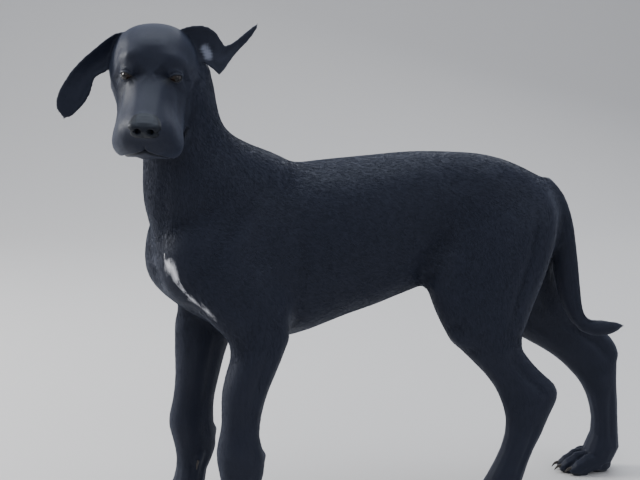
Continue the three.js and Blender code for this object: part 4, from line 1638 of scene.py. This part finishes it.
@dataclass(frozen=True)
class CameraSize:
    """The photograph's viewing angle, found from the paws, the legs and the back."""

    place: Point = (-0.23713, -2.14381, 0.95502)
    azimuth: float = math.radians(-9.4864)
    elevation: float = math.radians(12.1819)
    roll: float = math.radians(0.5989)
    focal: float = 1300.0 / 640.0
    sensor: float = 36.0
    far: float = 60.0

    def build(self) -> bpy.types.Object:
        """Make the camera and make it the scene's.

        Returns:
            The camera.
        """
        a, e = self.azimuth, self.elevation
        back = Vector((math.sin(a) * math.cos(e), -math.cos(a) * math.cos(e), math.sin(e)))
        right = Vector((math.cos(a), math.sin(a), 0.0))
        up = back.cross(right)
        c, s = math.cos(self.roll), math.sin(self.roll)
        data = bpy.data.cameras.new("camera")
        data.sensor_width = self.sensor
        data.lens = self.sensor * self.focal
        data.clip_end = self.far
        camera = bpy.data.objects.new("camera", data)
        bpy.context.collection.objects.link(camera)
        turn = Matrix((right * c + up * s, up * c - right * s, back)).transposed().to_4x4()
        camera.matrix_world = Matrix.Translation(Vector(self.place) - Vector(STANCE.origin) * MM) @ turn
        bpy.context.scene.camera = camera
        return camera


@dataclass(frozen=True)
class Lamp:
    """One soft lamp: where it stands, how wide it is, how bright and what colour."""

    name: str
    place: Point
    size: float
    watts: float
    colour: Point
    aim: Point = (-0.1, 0.0, 0.5)

    def build(self) -> bpy.types.Object:
        """Make the lamp, turned towards the middle of the dog.

        Returns:
            The lamp.
        """
        data = bpy.data.lights.new(self.name, "AREA")
        data.shape = "DISK"
        data.size = self.size
        data.energy = self.watts
        data.color = self.colour
        lamp = bpy.data.objects.new(self.name, data)
        bpy.context.collection.objects.link(lamp)
        lamp.location = self.place
        lamp.rotation_euler = (Vector(self.aim) - Vector(self.place)).to_track_quat("-Z", "Y").to_euler()
        return lamp


@dataclass(frozen=True)
class Studio:
    """Pale floor, pale surroundings and soft lamps."""

    floor_colour: Colour = (0.56, 0.55, 0.54, 1.0)
    air_colour: Colour = (0.86, 0.9, 1.0, 1.0)
    air_strength: float = 0.62
    width: float = 12.0
    height: float = 6.0
    rounding: float = 2.6
    segments: int = 24
    lamps: tuple[Lamp, ...] = (
        Lamp("sky", (-0.1, 0.3, 3.4), 3.2, 92.0, (0.88, 0.93, 1.0)),
        Lamp("front_window", (-1.8, -2.4, 1.8), 2.0, 11.0, (0.96, 0.97, 1.0)),
        Lamp("right_window", (2.4, -2.0, 1.9), 2.0, 19.0, (0.92, 0.95, 1.0)),
        Lamp("left_window", (-2.7, 0.9, 1.6), 0.9, 96.0, (1.0, 0.98, 0.95)),
        Lamp("far_window", (1.4, 2.8, 2.2), 2.0, 26.0, (0.92, 0.95, 1.0)),
    )

    def build(self) -> None:
        """Make floor, air and lamps."""
        deselect()
        bpy.ops.mesh.primitive_plane_add(size=self.width, location=(0.0, -1.0, 0.0))
        floor = bpy.context.object
        floor.name = "floor"
        rise = {"value": (0.0, 0.0, self.height)}
        self.on_far_edge(floor, bpy.ops.mesh.extrude_region_move, TRANSFORM_OT_translate=rise)
        self.on_far_edge(floor, bpy.ops.mesh.bevel, offset=self.rounding, segments=self.segments, affect="EDGES")
        bpy.ops.object.shade_smooth()
        finish = Nodes("floor", {"Base Color": self.floor_colour, "Roughness": 0.85})
        floor.data.materials.append(finish.material)
        world = bpy.context.scene.world or bpy.data.worlds.new("air")
        bpy.context.scene.world = world
        world.use_nodes = True
        air = world.node_tree.nodes["Background"]
        air.inputs["Color"].default_value = self.air_colour
        air.inputs["Strength"].default_value = self.air_strength
        for lamp in self.lamps:
            lamp.build()

    @staticmethod
    def on_far_edge(floor: bpy.types.Object, operator: Callable, **settings: object) -> None:
        """Run one edit-mode operator on the floor's far edge.

        Args:
            floor: The floor.
            operator: The operator.
            **settings: What it is called with.
        """
        bpy.ops.object.mode_set(mode="EDIT")
        bpy.ops.mesh.select_mode(type="EDGE")
        bpy.ops.mesh.select_all(action="DESELECT")
        bpy.ops.object.mode_set(mode="OBJECT")
        for edge in floor.data.edges:
            ends = [floor.data.vertices[v].co for v in edge.vertices]
            edge.select = all(end.y > 0 and end.z < 0.1 for end in ends)
        bpy.ops.object.mode_set(mode="EDIT")
        operator(**settings)
        bpy.ops.object.mode_set(mode="OBJECT")


# White streak on the chest: places in the straight dog and half its breadth
CHEST_MARK = [((-174, -41, 500), 1.2), ((-173, -46, 490), 4.0), ((-170.6, -56, 479), 7.2), ((-167, -62, 467), 5.4),
              ((-160, -62.5, 453.5), 4.2), ((-151, -63.5, 440.5), 3.0), ((-141.6, -68, 427.4), 1.7),
              ((-131.4, -77, 417), 1.1), ((-119, -83.5, 406.5), 0.8)]
# Painted sheen at the middle of the chest, where light falls on its front, and a paler spot in the hollow of the left
# ear in the standing dog
CHEST_PAINTED_SHEEN = [((-182, 8, 545), 6.0), ((-177, 9, 518), 9.0), ((-178, 3, 498), 9.0), ((-178, -8, 482), 6.0)]
EAR_PALE = [((-80, -95, 817), 6.0), ((-75, -95, 808), 6.8)]


def near_chain(points: np.ndarray, chain: Sequence[tuple[Point, float]], soft: float) -> np.ndarray:
    """Share with which points lie in a chain of balls of changing size, with a soft edge.

    Args:
        points: Places in mm.
        chain: Middles and radii of the balls.
        soft: Breadth of the edge in mm.

    Returns:
        One share from 0 to 1 per point.
    """
    best = np.full(len(points), -1e9)
    for (a, ra), (b, rb) in zip(chain[:-1], chain[1:]):
        a, b = np.array(a, dtype=float), np.array(b, dtype=float)
        step = b - a
        t = np.clip(((points - a) @ step) / (step @ step), 0.0, 1.0)
        away = np.linalg.norm(points - a - t[:, None] * step, axis=1)
        best = np.maximum(best, ra + (rb - ra) * t - away)
    return ramp(best, -soft, soft)


def markings(points: np.ndarray, normals: np.ndarray) -> dict[str, np.ndarray]:
    """Find the white hair, the painted sheen on the chest and the paler spot in the ear, for the skin and the coat
    alike.

    Args:
        points: Places in the model (m).
        normals: Directions of the skin.

    Returns:
        Share of the white hair, of the painted sheen and of the ear spot.
    """
    straight, _ = STANCE.straighten(points)
    x, y, z = straight.T
    standing = points / MM + STANCE.origin
    wobble = np.stack([np.sin(z * 1.3 + 2.1), np.sin(x * 1.7), np.sin(y * 1.1)], 1)
    front = normals[:, 0] < 0.55
    white = near_chain(straight + wobble * 0.7, CHEST_MARK, 0.9) * front
    # painted sheen: the front of the chest is made paler where light falls on it
    pale = near_chain(straight, CHEST_PAINTED_SHEEN, 6.0) * front * 0.25
    ear = near_chain(standing + wobble * 1.6, EAR_PALE, 4.0) * ramp(-normals[:, 1], 0.1, 0.5)
    return {"white": white, "pale": np.maximum(pale, ear)}


@dataclass(frozen=True)
class CoatFinish:
    """Deep blue-black short coat with a soft bluish sheen, a white streak, painted sheen on the chest and a paler
    spot in the ear.
    """

    dark: Colour = (0.0044, 0.0055, 0.0122, 1.0)
    lighter: Colour = (0.0070, 0.0086, 0.0186, 1.0)
    light: Colour = (0.0146, 0.0177, 0.0345, 1.0)
    rough: float = 0.55
    gloss: float = 0.26
    sheen: float = 0.10
    white: Colour = (0.80, 0.80, 0.84, 1.0)
    # pale colour of the painted sheen on the chest and of the spot in the ear
    pale: Colour = (0.16, 0.175, 0.225, 1.0)
    bare: Colour = (0.006, 0.006, 0.0075, 1.0)
    bare_rough: float = 0.36
    tint: Colour = (0.88, 0.94, 1.0, 1.0)
    sheen_tint: Colour = (0.62, 0.72, 1.0, 1.0)
    skin_tone: float = 0.23

    def colour(self, nodes: Nodes) -> bpy.types.NodeSocket:
        """Colour of the hair from its markings, the painted sheen on the chest and the ear spot.

        Args:
            nodes: The material in the making.

        Returns:
            The colour.
        """
        ground = nodes.blend(nodes.noise(26.0, (1, 1, 1), 4.0), self.dark, self.lighter)
        ground = nodes.blend(nodes.value("tone"), ground, self.light)
        # blend in the painted sheen on the chest and the paler spot in the ear
        pale = nodes.blend(nodes.value("pale"), ground, self.pale)
        return nodes.blend(nodes.value("white"), pale, self.white)

    def skin(self) -> bpy.types.Material:
        """Skin with its lying hair as bump, and bare black skin on lids, lips and pads.

        Returns:
            The material.
        """
        nodes = Nodes("coat_skin", self.surface())
        bare = nodes.value("bare")
        nodes.link(nodes.blend(bare, self.colour(nodes), self.bare), "Base Color")
        nodes.link(nodes.between(bare, self.rough, self.bare_rough), "Roughness")
        links = {0: nodes.value("down"), 2: nodes.noise(95.0, (1.0, 9.0, 9.0)), 3: nodes.noise(95.0, (9.0, 9.0, 1.0))}
        nodes.bump(nodes.add("ShaderNodeMix", links=links, data_type="FLOAT").outputs[0], 0.35, 0.0007)
        return nodes.material

    def hair(self) -> bpy.types.Material:
        """The tufts, of the same markings as the skin.

        Returns:
            The material.
        """
        nodes = Nodes("coat_hair", {**self.surface(), "Roughness": self.rough})
        nodes.link(self.colour(nodes), "Base Color")
        return nodes.material

    def surface(self) -> dict[str, object]:
        """Gloss and bluish sheen of the hair, the same all over.

        Returns:
            Values of the shader's sockets.
        """
        return {
            "Specular IOR Level": self.gloss, "Specular Tint": self.tint,
            "Sheen Weight": self.sheen, "Sheen Roughness": 0.5, "Sheen Tint": self.sheen_tint,
        }


@dataclass(frozen=True)
class CoatZone:
    """A stretch of coat: how long, wide, dense and raised its tufts are (mm, tufts per square cm)."""

    name: str
    nodes: tuple[str, ...]
    length: float
    width: float
    density: float
    rise: float = 0.7
    parts: int = 1


ZONES = [
    CoatZone("coat_head", SKULL, 5.2, 0.5, 58.0, 0.5),
    CoatZone("coat_ears", ("ear_left", "ear_right"), 5.2, 0.5, 45.0, 0.5),
    CoatZone("coat_neck", ("neck",), 9.5, 0.7, 36.0),
    CoatZone("coat_trunk", ("torso",), 11.0, 0.8, 27.0, parts=2),
    CoatZone("coat_shoulders", ("shoulder_left", "shoulder_right"), 9.5, 0.75, 31.0),
    CoatZone("coat_thighs", ("thigh_left", "thigh_right"), 10.0, 0.75, 29.0, parts=2),
    CoatZone("coat_forelegs", ("foreleg_left", "foreleg_right"), 6.5, 0.6, 38.0, 0.55),
    CoatZone("coat_shanks", ("shank_left", "shank_right"), 6.5, 0.6, 38.0, 0.55),
    CoatZone("coat_paws", tuple(PAWS), 4.4, 0.5, 36.0, 0.45),
    CoatZone("coat_tail", ("tail_root", "tail_middle", "tail_tip"), 9.0, 0.65, 45.0),
]
TAIL_PATH = [(505, 575), (534, 547), (549, 508), (557, 471), (563, 430), (570, 390), (577, 357), (589, 332),
             (608, 316), (630, 311), (652, 309), (674, 312)]


@dataclass
class Lie:
    """Which way the hair lies at each place."""

    def along(self, points: np.ndarray, normals: np.ndarray, parts: dict[str, np.ndarray]) -> np.ndarray:
        """Direction of the hair, in the model's frame, along the skin.

        Args:
            points: Places in metres.
            normals: Directions of the skin.
            parts: Share with which each place belongs to a part of the body.

        Returns:
            Unit vectors.
        """
        straight, turn = STANCE.straighten(points)
        x, y, z = straight.T
        cos, sin = np.cos(turn), np.sin(turn)
        top = ramp(normals[:, 2], 0.4, 0.95)
        flow = np.stack([np.ones(len(x)), 0.12 * np.sign(y), -0.55 + 0.5 * top], 1)
        low = ramp(z, 470, 330) * ramp(x, 60, -20)
        limb = np.clip(parts["leg"] + parts["paw"] + low + ramp(z, 430, 330) * ramp(x, 250, 330), 0, 1)
        flow = self.mix(flow, [0.16, 0.0, -1.0], limb)
        thigh = ramp(x, 300, 380) * ramp(z, 600, 480) * (1 - limb)
        flow = self.mix(flow, [0.42, 0.0, -0.92], thigh)
        chest = ramp(-normals[:, 0], 0.2, 0.8) * ramp(x, -60, -130) * (1 - limb)
        flow = self.mix(flow, [0.1, 0.0, -1.0], chest)
        flow = self.mix(flow, [0.5, 0.1, -0.9], parts["neck"])
        flow = np.stack([flow[:, 0] * cos - flow[:, 1] * sin, flow[:, 0] * sin + flow[:, 1] * cos, flow[:, 2]], 1)
        head = HEAD.to_head(points)
        back = np.stack([-np.ones(len(x)), 0.22 * np.sign(head[:, 1]) * ramp(np.abs(head[:, 1]), 4, 30),
                         -0.35 * ramp(head[:, 2], 10, -60)], 1)
        flow = flow + (back @ HEAD.matrix().T - flow) * parts["head"][:, None]
        standing = points / MM + STANCE.origin
        for side in Side:
            rows = np.array(EAR_EDGES[side], dtype=float).mean(1)
            mask = parts["ear"] * (standing[:, 0] > -150 if side is Side.LEFT else standing[:, 0] < -150)
            flow = flow + (self.follow(standing, rows) - flow) * mask[:, None]
        tail = np.array([(a, 0, c) for a, c in TAIL_PATH], dtype=float)
        flow = flow + (self.follow(standing, tail) - flow) * parts["tail"][:, None]
        flow -= normals * (flow * normals).sum(1)[:, None]
        return flow / np.maximum(np.linalg.norm(flow, axis=1), 1e-6)[:, None]

    @staticmethod
    def mix(flow: np.ndarray, other: list[float], share: np.ndarray) -> np.ndarray:
        """Blend every direction towards another one."""
        return flow + (np.array(other) - flow) * share[:, None]

    @staticmethod
    def follow(points: np.ndarray, path: np.ndarray) -> np.ndarray:
        """Direction of a path next to each point.

        Args:
            points: Places in mm.
            path: Places along the path.

        Returns:
            One direction per point.
        """
        steps = np.gradient(path, axis=0)
        steps /= np.linalg.norm(steps, axis=1)[:, None]
        away = np.linalg.norm(points[:, None, :] - path[None], axis=2)
        weight = np.exp(-((away - away.min(1)[:, None]) / 12.0))
        return (weight[:, :, None] * steps[None]).sum(1) / weight.sum(1)[:, None]


@dataclass
class Coat:
    """Short tufts of solid mesh, lying along the skin on every side.

    `stray`, `tilt` and `lean` say how much the tufts differ from their neighbours, `sunk` is how deep their roots
    go in mm, and `patch` is half the size of a tuft on the unwrap.
    """

    skin: bpy.types.Object
    owner: np.ndarray
    finish: CoatFinish
    seed: int = 7
    stray: float = 0.13
    tilt: float = 0.12
    lean: tuple[float, float] = (0.10, 0.08)
    sunk: float = 0.45
    patch: float = 0.0015

    def build(self) -> list[bpy.types.Object]:
        """Make the coat, one piece or two for each zone.

        Returns:
            The pieces.
        """
        rng = np.random.default_rng(self.seed)
        mesh = self.skin.data
        points, normals = get_points(mesh), get_normals(mesh)
        bare = get_attribute(mesh, "bare")
        flow = Lie().along(points, normals, get_parts(mesh))
        put_attribute(mesh, "down", ramp(np.abs(flow[:, 2]), 0.35, 0.85))
        mesh.calc_loop_triangles()
        corners = np.empty(len(mesh.loop_triangles) * 3, dtype=np.int64)
        mesh.loop_triangles.foreach_get("vertices", corners)
        corners = corners.reshape(-1, 3)
        a, b, c = (points[corners[:, k]] for k in range(3))
        area = np.linalg.norm(np.cross(b - a, c - a), axis=1) / 2 * 1e4
        tree = BVHTree.FromPolygons(points.tolist(), corners.tolist())
        material = self.finish.hair()
        pieces = []
        for zone in ZONES:
            inside = np.isin(self.owner[corners[:, 0]], [FLESH.index(n) for n in zone.nodes])
            share = area * inside
            count = int(share.sum() * zone.density)
            pick = np.searchsorted(np.cumsum(share), rng.random(count) * share.sum())
            u = np.sqrt(rng.random(count))
            v = rng.random(count)
            weights = np.stack([1 - u, u * (1 - v), u * v], 1)[:, :, None]
            faces = corners[np.minimum(pick, len(corners) - 1)]
            root, normal, along = ((values[faces] * weights).sum(1) for values in (points, normals, flow))
            free = (bare[faces] * weights[:, :, 0]).sum(1) < 0.25
            free &= self.hairy(root, normal)
            right = STANCE.straighten(root)[0][:, 1] > 0
            halves = {"": free} if zone.parts == 1 else {"_right": free & right, "_left": free & ~right}
            for side, mine in halves.items():
                piece = self.piece(zone, zone.name + side, root[mine], normal[mine], along[mine], tree, rng)
                piece.data.materials.append(material)
                hand_over(piece, "coat")
                pieces.append(piece)
        return pieces

    @staticmethod
    def hairy(root: np.ndarray, normal: np.ndarray) -> np.ndarray:
        """Find where hair grows: not under the nose leather, on the eyes or on the soles.

        Args:
            root: Places on the skin (m).
            normal: Directions of the skin.

        Returns:
            True where hair grows.
        """
        head = HEAD.to_head(root)
        nose = (head[:, 0] > 99.0) & (head[:, 2] > -43.0) & (head[:, 2] < -5.0) & (np.abs(head[:, 1]) < 25.5)
        eyes = np.zeros(len(root), dtype=bool)
        for side in Side:
            centre, look, _, _ = EYE.axes(side)
            _, away, _ = LidMaker().gap(head - centre, side)
            eyes |= (away < 1.5) & ((head - centre) @ look > 0) & (np.linalg.norm(head - centre, axis=1) < 20)
        sole = (root[:, 2] < 0.007) & (normal[:, 2] < 0.15)
        return ~(nose | eyes | sole)

    @staticmethod
    def landed(tree: BVHTree, places: np.ndarray, reach: np.ndarray) -> tuple[np.ndarray, np.ndarray, np.ndarray]:
        """Find the nearest places on the skin.

        Args:
            tree: The skin.
            places: From where to look.
            reach: How far to look from each.

        Returns:
            The places, the skin's directions there, and whether they lie within reach.
        """
        spots, facing = places.copy(), np.zeros_like(places)
        near = np.zeros(len(places), dtype=bool)
        for i, place in enumerate(places):
            spot, direction, _, away = tree.find_nearest(place)
            if away < reach[i]:
                spots[i], facing[i], near[i] = spot, direction, True
        return spots, facing, near

    def piece(self, zone: CoatZone, name: str, root: np.ndarray, normal: np.ndarray, along: np.ndarray,
              tree: BVHTree, rng: np.random.Generator) -> bpy.types.Object:
        """One coat piece: a thin pointed tuft on each root, lying along the skin.

        Args:
            zone: Sizes of its tufts.
            name: Name of the piece.
            root: Places of the roots.
            normal: Directions of the skin there.
            along: Which way the hair lies there.
            tree: The skin, for the tips to lie on.
            rng: Source of the scatter.

        Returns:
            The piece.
        """
        count = len(root)
        normal = normal / np.linalg.norm(normal, axis=1)[:, None]
        aside = np.cross(normal, along)
        aside /= np.maximum(np.linalg.norm(aside, axis=1), 1e-9)[:, None]
        turn = rng.normal(0, self.stray, count)[:, None]
        along = np.cross(aside, normal) * np.cos(turn) + aside * np.sin(turn)
        aside = np.cross(normal, along)
        length, width, rise = (v[:, None] * MM for v in self.size(zone, root, normal, rng))
        tilt = rng.normal(0, self.tilt, count)[:, None]
        sunk = self.sunk * MM
        left = root - aside * width / 2 - normal * (sunk - tilt * width)
        right = root + aside * width / 2 - normal * (sunk + tilt * width)
        under = root + along * length * 0.12 - normal * (sunk + width * 0.5)
        tip = root + along * length
        spots, facing, near = self.landed(tree, tip, length[:, 0] * 0.5)
        tip = np.where(near[:, None], spots + facing * rise, tip + normal * rise)
        points = np.stack([left, right, under, tip], 1).reshape(-1, 3)
        pattern = np.array([(1, 0, 3), (2, 1, 3), (0, 2, 3), (0, 1, 2)])
        faces = (pattern[None] + (np.arange(count) * 4)[:, None, None]).reshape(-1)
        mesh = bpy.data.meshes.new(name)
        mesh.vertices.add(len(points))
        mesh.vertices.foreach_set("co", points.ravel())
        mesh.loops.add(len(faces))
        mesh.loops.foreach_set("vertex_index", faces)
        mesh.polygons.add(len(faces) // 3)
        mesh.polygons.foreach_set("loop_start", np.arange(0, len(faces), 3))
        mesh.polygons.foreach_set("use_smooth", np.ones(len(faces) // 3, dtype=bool))
        mesh.update(calc_edges=True)
        lean_aside, lean_along = (rng.normal(0, spread, count)[:, None] for spread in self.lean)
        lean = normal + aside * lean_aside + along * lean_along
        shade = np.stack([lean - aside * 0.3, lean + aside * 0.3, lean, lean + along * 0.15], 1).reshape(-1, 3)
        shade /= np.linalg.norm(shade, axis=1)[:, None]
        mesh.normals_split_custom_set_from_vertices(shade)
        for key, value in markings(root + along * length * 0.5, normal).items():
            put_attribute(mesh, key, np.repeat(value, 4))
        put_attribute(mesh, "tone", np.repeat(rng.random(count) ** 2 * 0.7, 4))
        centre = self.unwrap(zone, root, normal)
        local = np.array([(-1, -1), (1, -1), (0, -0.8), (0, 1)]) * self.patch
        layer = mesh.uv_layers.new(name="OFBake")
        layer.uv.foreach_set("vector", (centre[:, None, :] + local[None]).reshape(-1, 2)[faces].ravel())
        piece = bpy.data.objects.new(name, mesh)
        bpy.context.collection.objects.link(piece)
        return piece

    @staticmethod
    def size(zone: CoatZone, root: np.ndarray, normal: np.ndarray, rng: np.random.Generator) -> list[np.ndarray]:
        """Draw the size of each tuft.

        Args:
            zone: Its stretch of coat.
            root: Places of the roots.
            normal: Directions of the skin.
            rng: Source of the scatter.

        Returns:
            Length, width and rise in mm.
        """
        count = len(root)
        scatter = rng.uniform(0.75, 1.25, count)
        straight, _ = STANCE.straighten(root)
        x = straight[:, 0]
        longer = np.ones(count)
        if zone.name == "coat_thighs":
            longer += 0.45 * ramp(normal[:, 0], 0.3, 0.9)
        if zone.name in ("coat_trunk", "coat_shoulders"):
            longer += 0.25 * ramp(-normal[:, 2], 0.4, 0.95) + 0.2 * ramp(-x, 120, 165)
        if zone.name == "coat_tail":
            longer += 0.5 * ramp(normal[:, 0], 0.1, 0.8) - 0.3 * ramp(x, 640, 672)
        if zone.name == "coat_neck":
            longer += 0.2 * ramp(normal[:, 0], 0.2, 0.9)
        if zone.name == "coat_head":
            ahead = HEAD.to_head(root)[:, 0]
            longer += 0.5 * ramp(-ahead, 20, 110) - 0.3 * ramp(ahead, 30, 100)
        width = zone.width * rng.uniform(0.8, 1.2, count)
        return [zone.length * scatter * longer, width, zone.rise * rng.uniform(0.7, 1.3, count)]

    @staticmethod
    def unwrap(zone: CoatZone, root: np.ndarray, normal: np.ndarray) -> np.ndarray:
        """Place the roots on an unwrap of the skin, on which each limb, ear or length of the body is rolled out.

        Args:
            zone: Their stretch of coat.
            root: Places of the roots.
            normal: Directions of the skin.

        Returns:
            Places on the unwrap.
        """
        straight, _ = STANCE.straighten(root)
        x, y, z = straight.T
        cell, cells = np.zeros(len(x)), 1
        if zone.name == "coat_head":
            ahead, aside, up = HEAD.to_head(root).T
            round_it, length = np.arctan2(aside, up + 35.0), (ahead + 126.0) / 250.0
        elif zone.name == "coat_ears":
            across, _, up = (root / MM + STANCE.origin).T
            cell, cells = (across > -150) + 2.0 * (normal[:, 1] > 0), 4
            round_it = (up - 780.0) / 90.0 * math.pi
            length = np.where(across > -150, across + 125.0, across + 318.0) / 150.0
        elif zone.name == "coat_trunk":
            round_it, length = np.arctan2(y, z - 500.0), (x + 190.0) / 760.0
        elif zone.name == "coat_neck":
            round_it, length = np.arctan2(y + 10.0, -(x + 110.0)), (z - 430.0) / 380.0
        elif zone.name == "coat_tail":
            path = np.array(TAIL_PATH, dtype=float)
            reach = np.concatenate([[0], np.cumsum(np.linalg.norm(np.diff(path, axis=0), axis=1))])
            away = np.hypot(x[:, None] - path[None, :, 0], z[:, None] - path[None, :, 1])
            weight = np.exp(-(away - away.min(1)[:, None]) / 8.0)
            length = (weight * reach).sum(1) / weight.sum(1) / reach[-1]
            round_it = np.arctan2(y, normal[:, 0] * 20.0)
        else:
            left, hind, cells = y < 0, x > 230, len(zone.nodes)
            cell = left * 1.0 + (2.0 * hind if cells == 4 else 0.0)
            out = np.abs(y) - (52.0 if zone.name in ("coat_shoulders", "coat_thighs") else 76.0)
            middle = np.where(hind, np.where(left, 440.0, 600.0), -60.0)
            round_it = np.arctan2(out, (x - middle) * 0.5 + normal[:, 0] * 25.0)
            length = z / 640.0
        u = (cell + 0.02 + 0.96 * np.clip((round_it / math.pi + 1) / 2, 0, 1)) / cells
        return np.stack([u, np.clip(0.01 + 0.98 * length, 0.003, 0.997)], 1)


def main() -> None:
    """Build the dog and its studio."""
    logging.basicConfig(level=logging.INFO, format="%(message)s")
    CameraSize().build()
    Studio().build()
    maker = Skin()
    skin = maker.build()
    finish = CoatFinish()
    skin.data.materials.append(finish.skin())
    for name, value in markings(get_points(skin.data), get_normals(skin.data)).items():
        put_attribute(skin.data, name, value)
    put_attribute(skin.data, "tone", np.full(len(skin.data.vertices), finish.skin_tone))
    hand_over(skin, "coat", *[name for name in FLESH if name not in SKULL[1:]])
    for side in Side:
        EyeBall(side).build()
    NoseLeather().build()
    Claws().build()
    Coat(skin, maker.nearest(skin), finish).build()


if __name__ == "__main__":
    main()
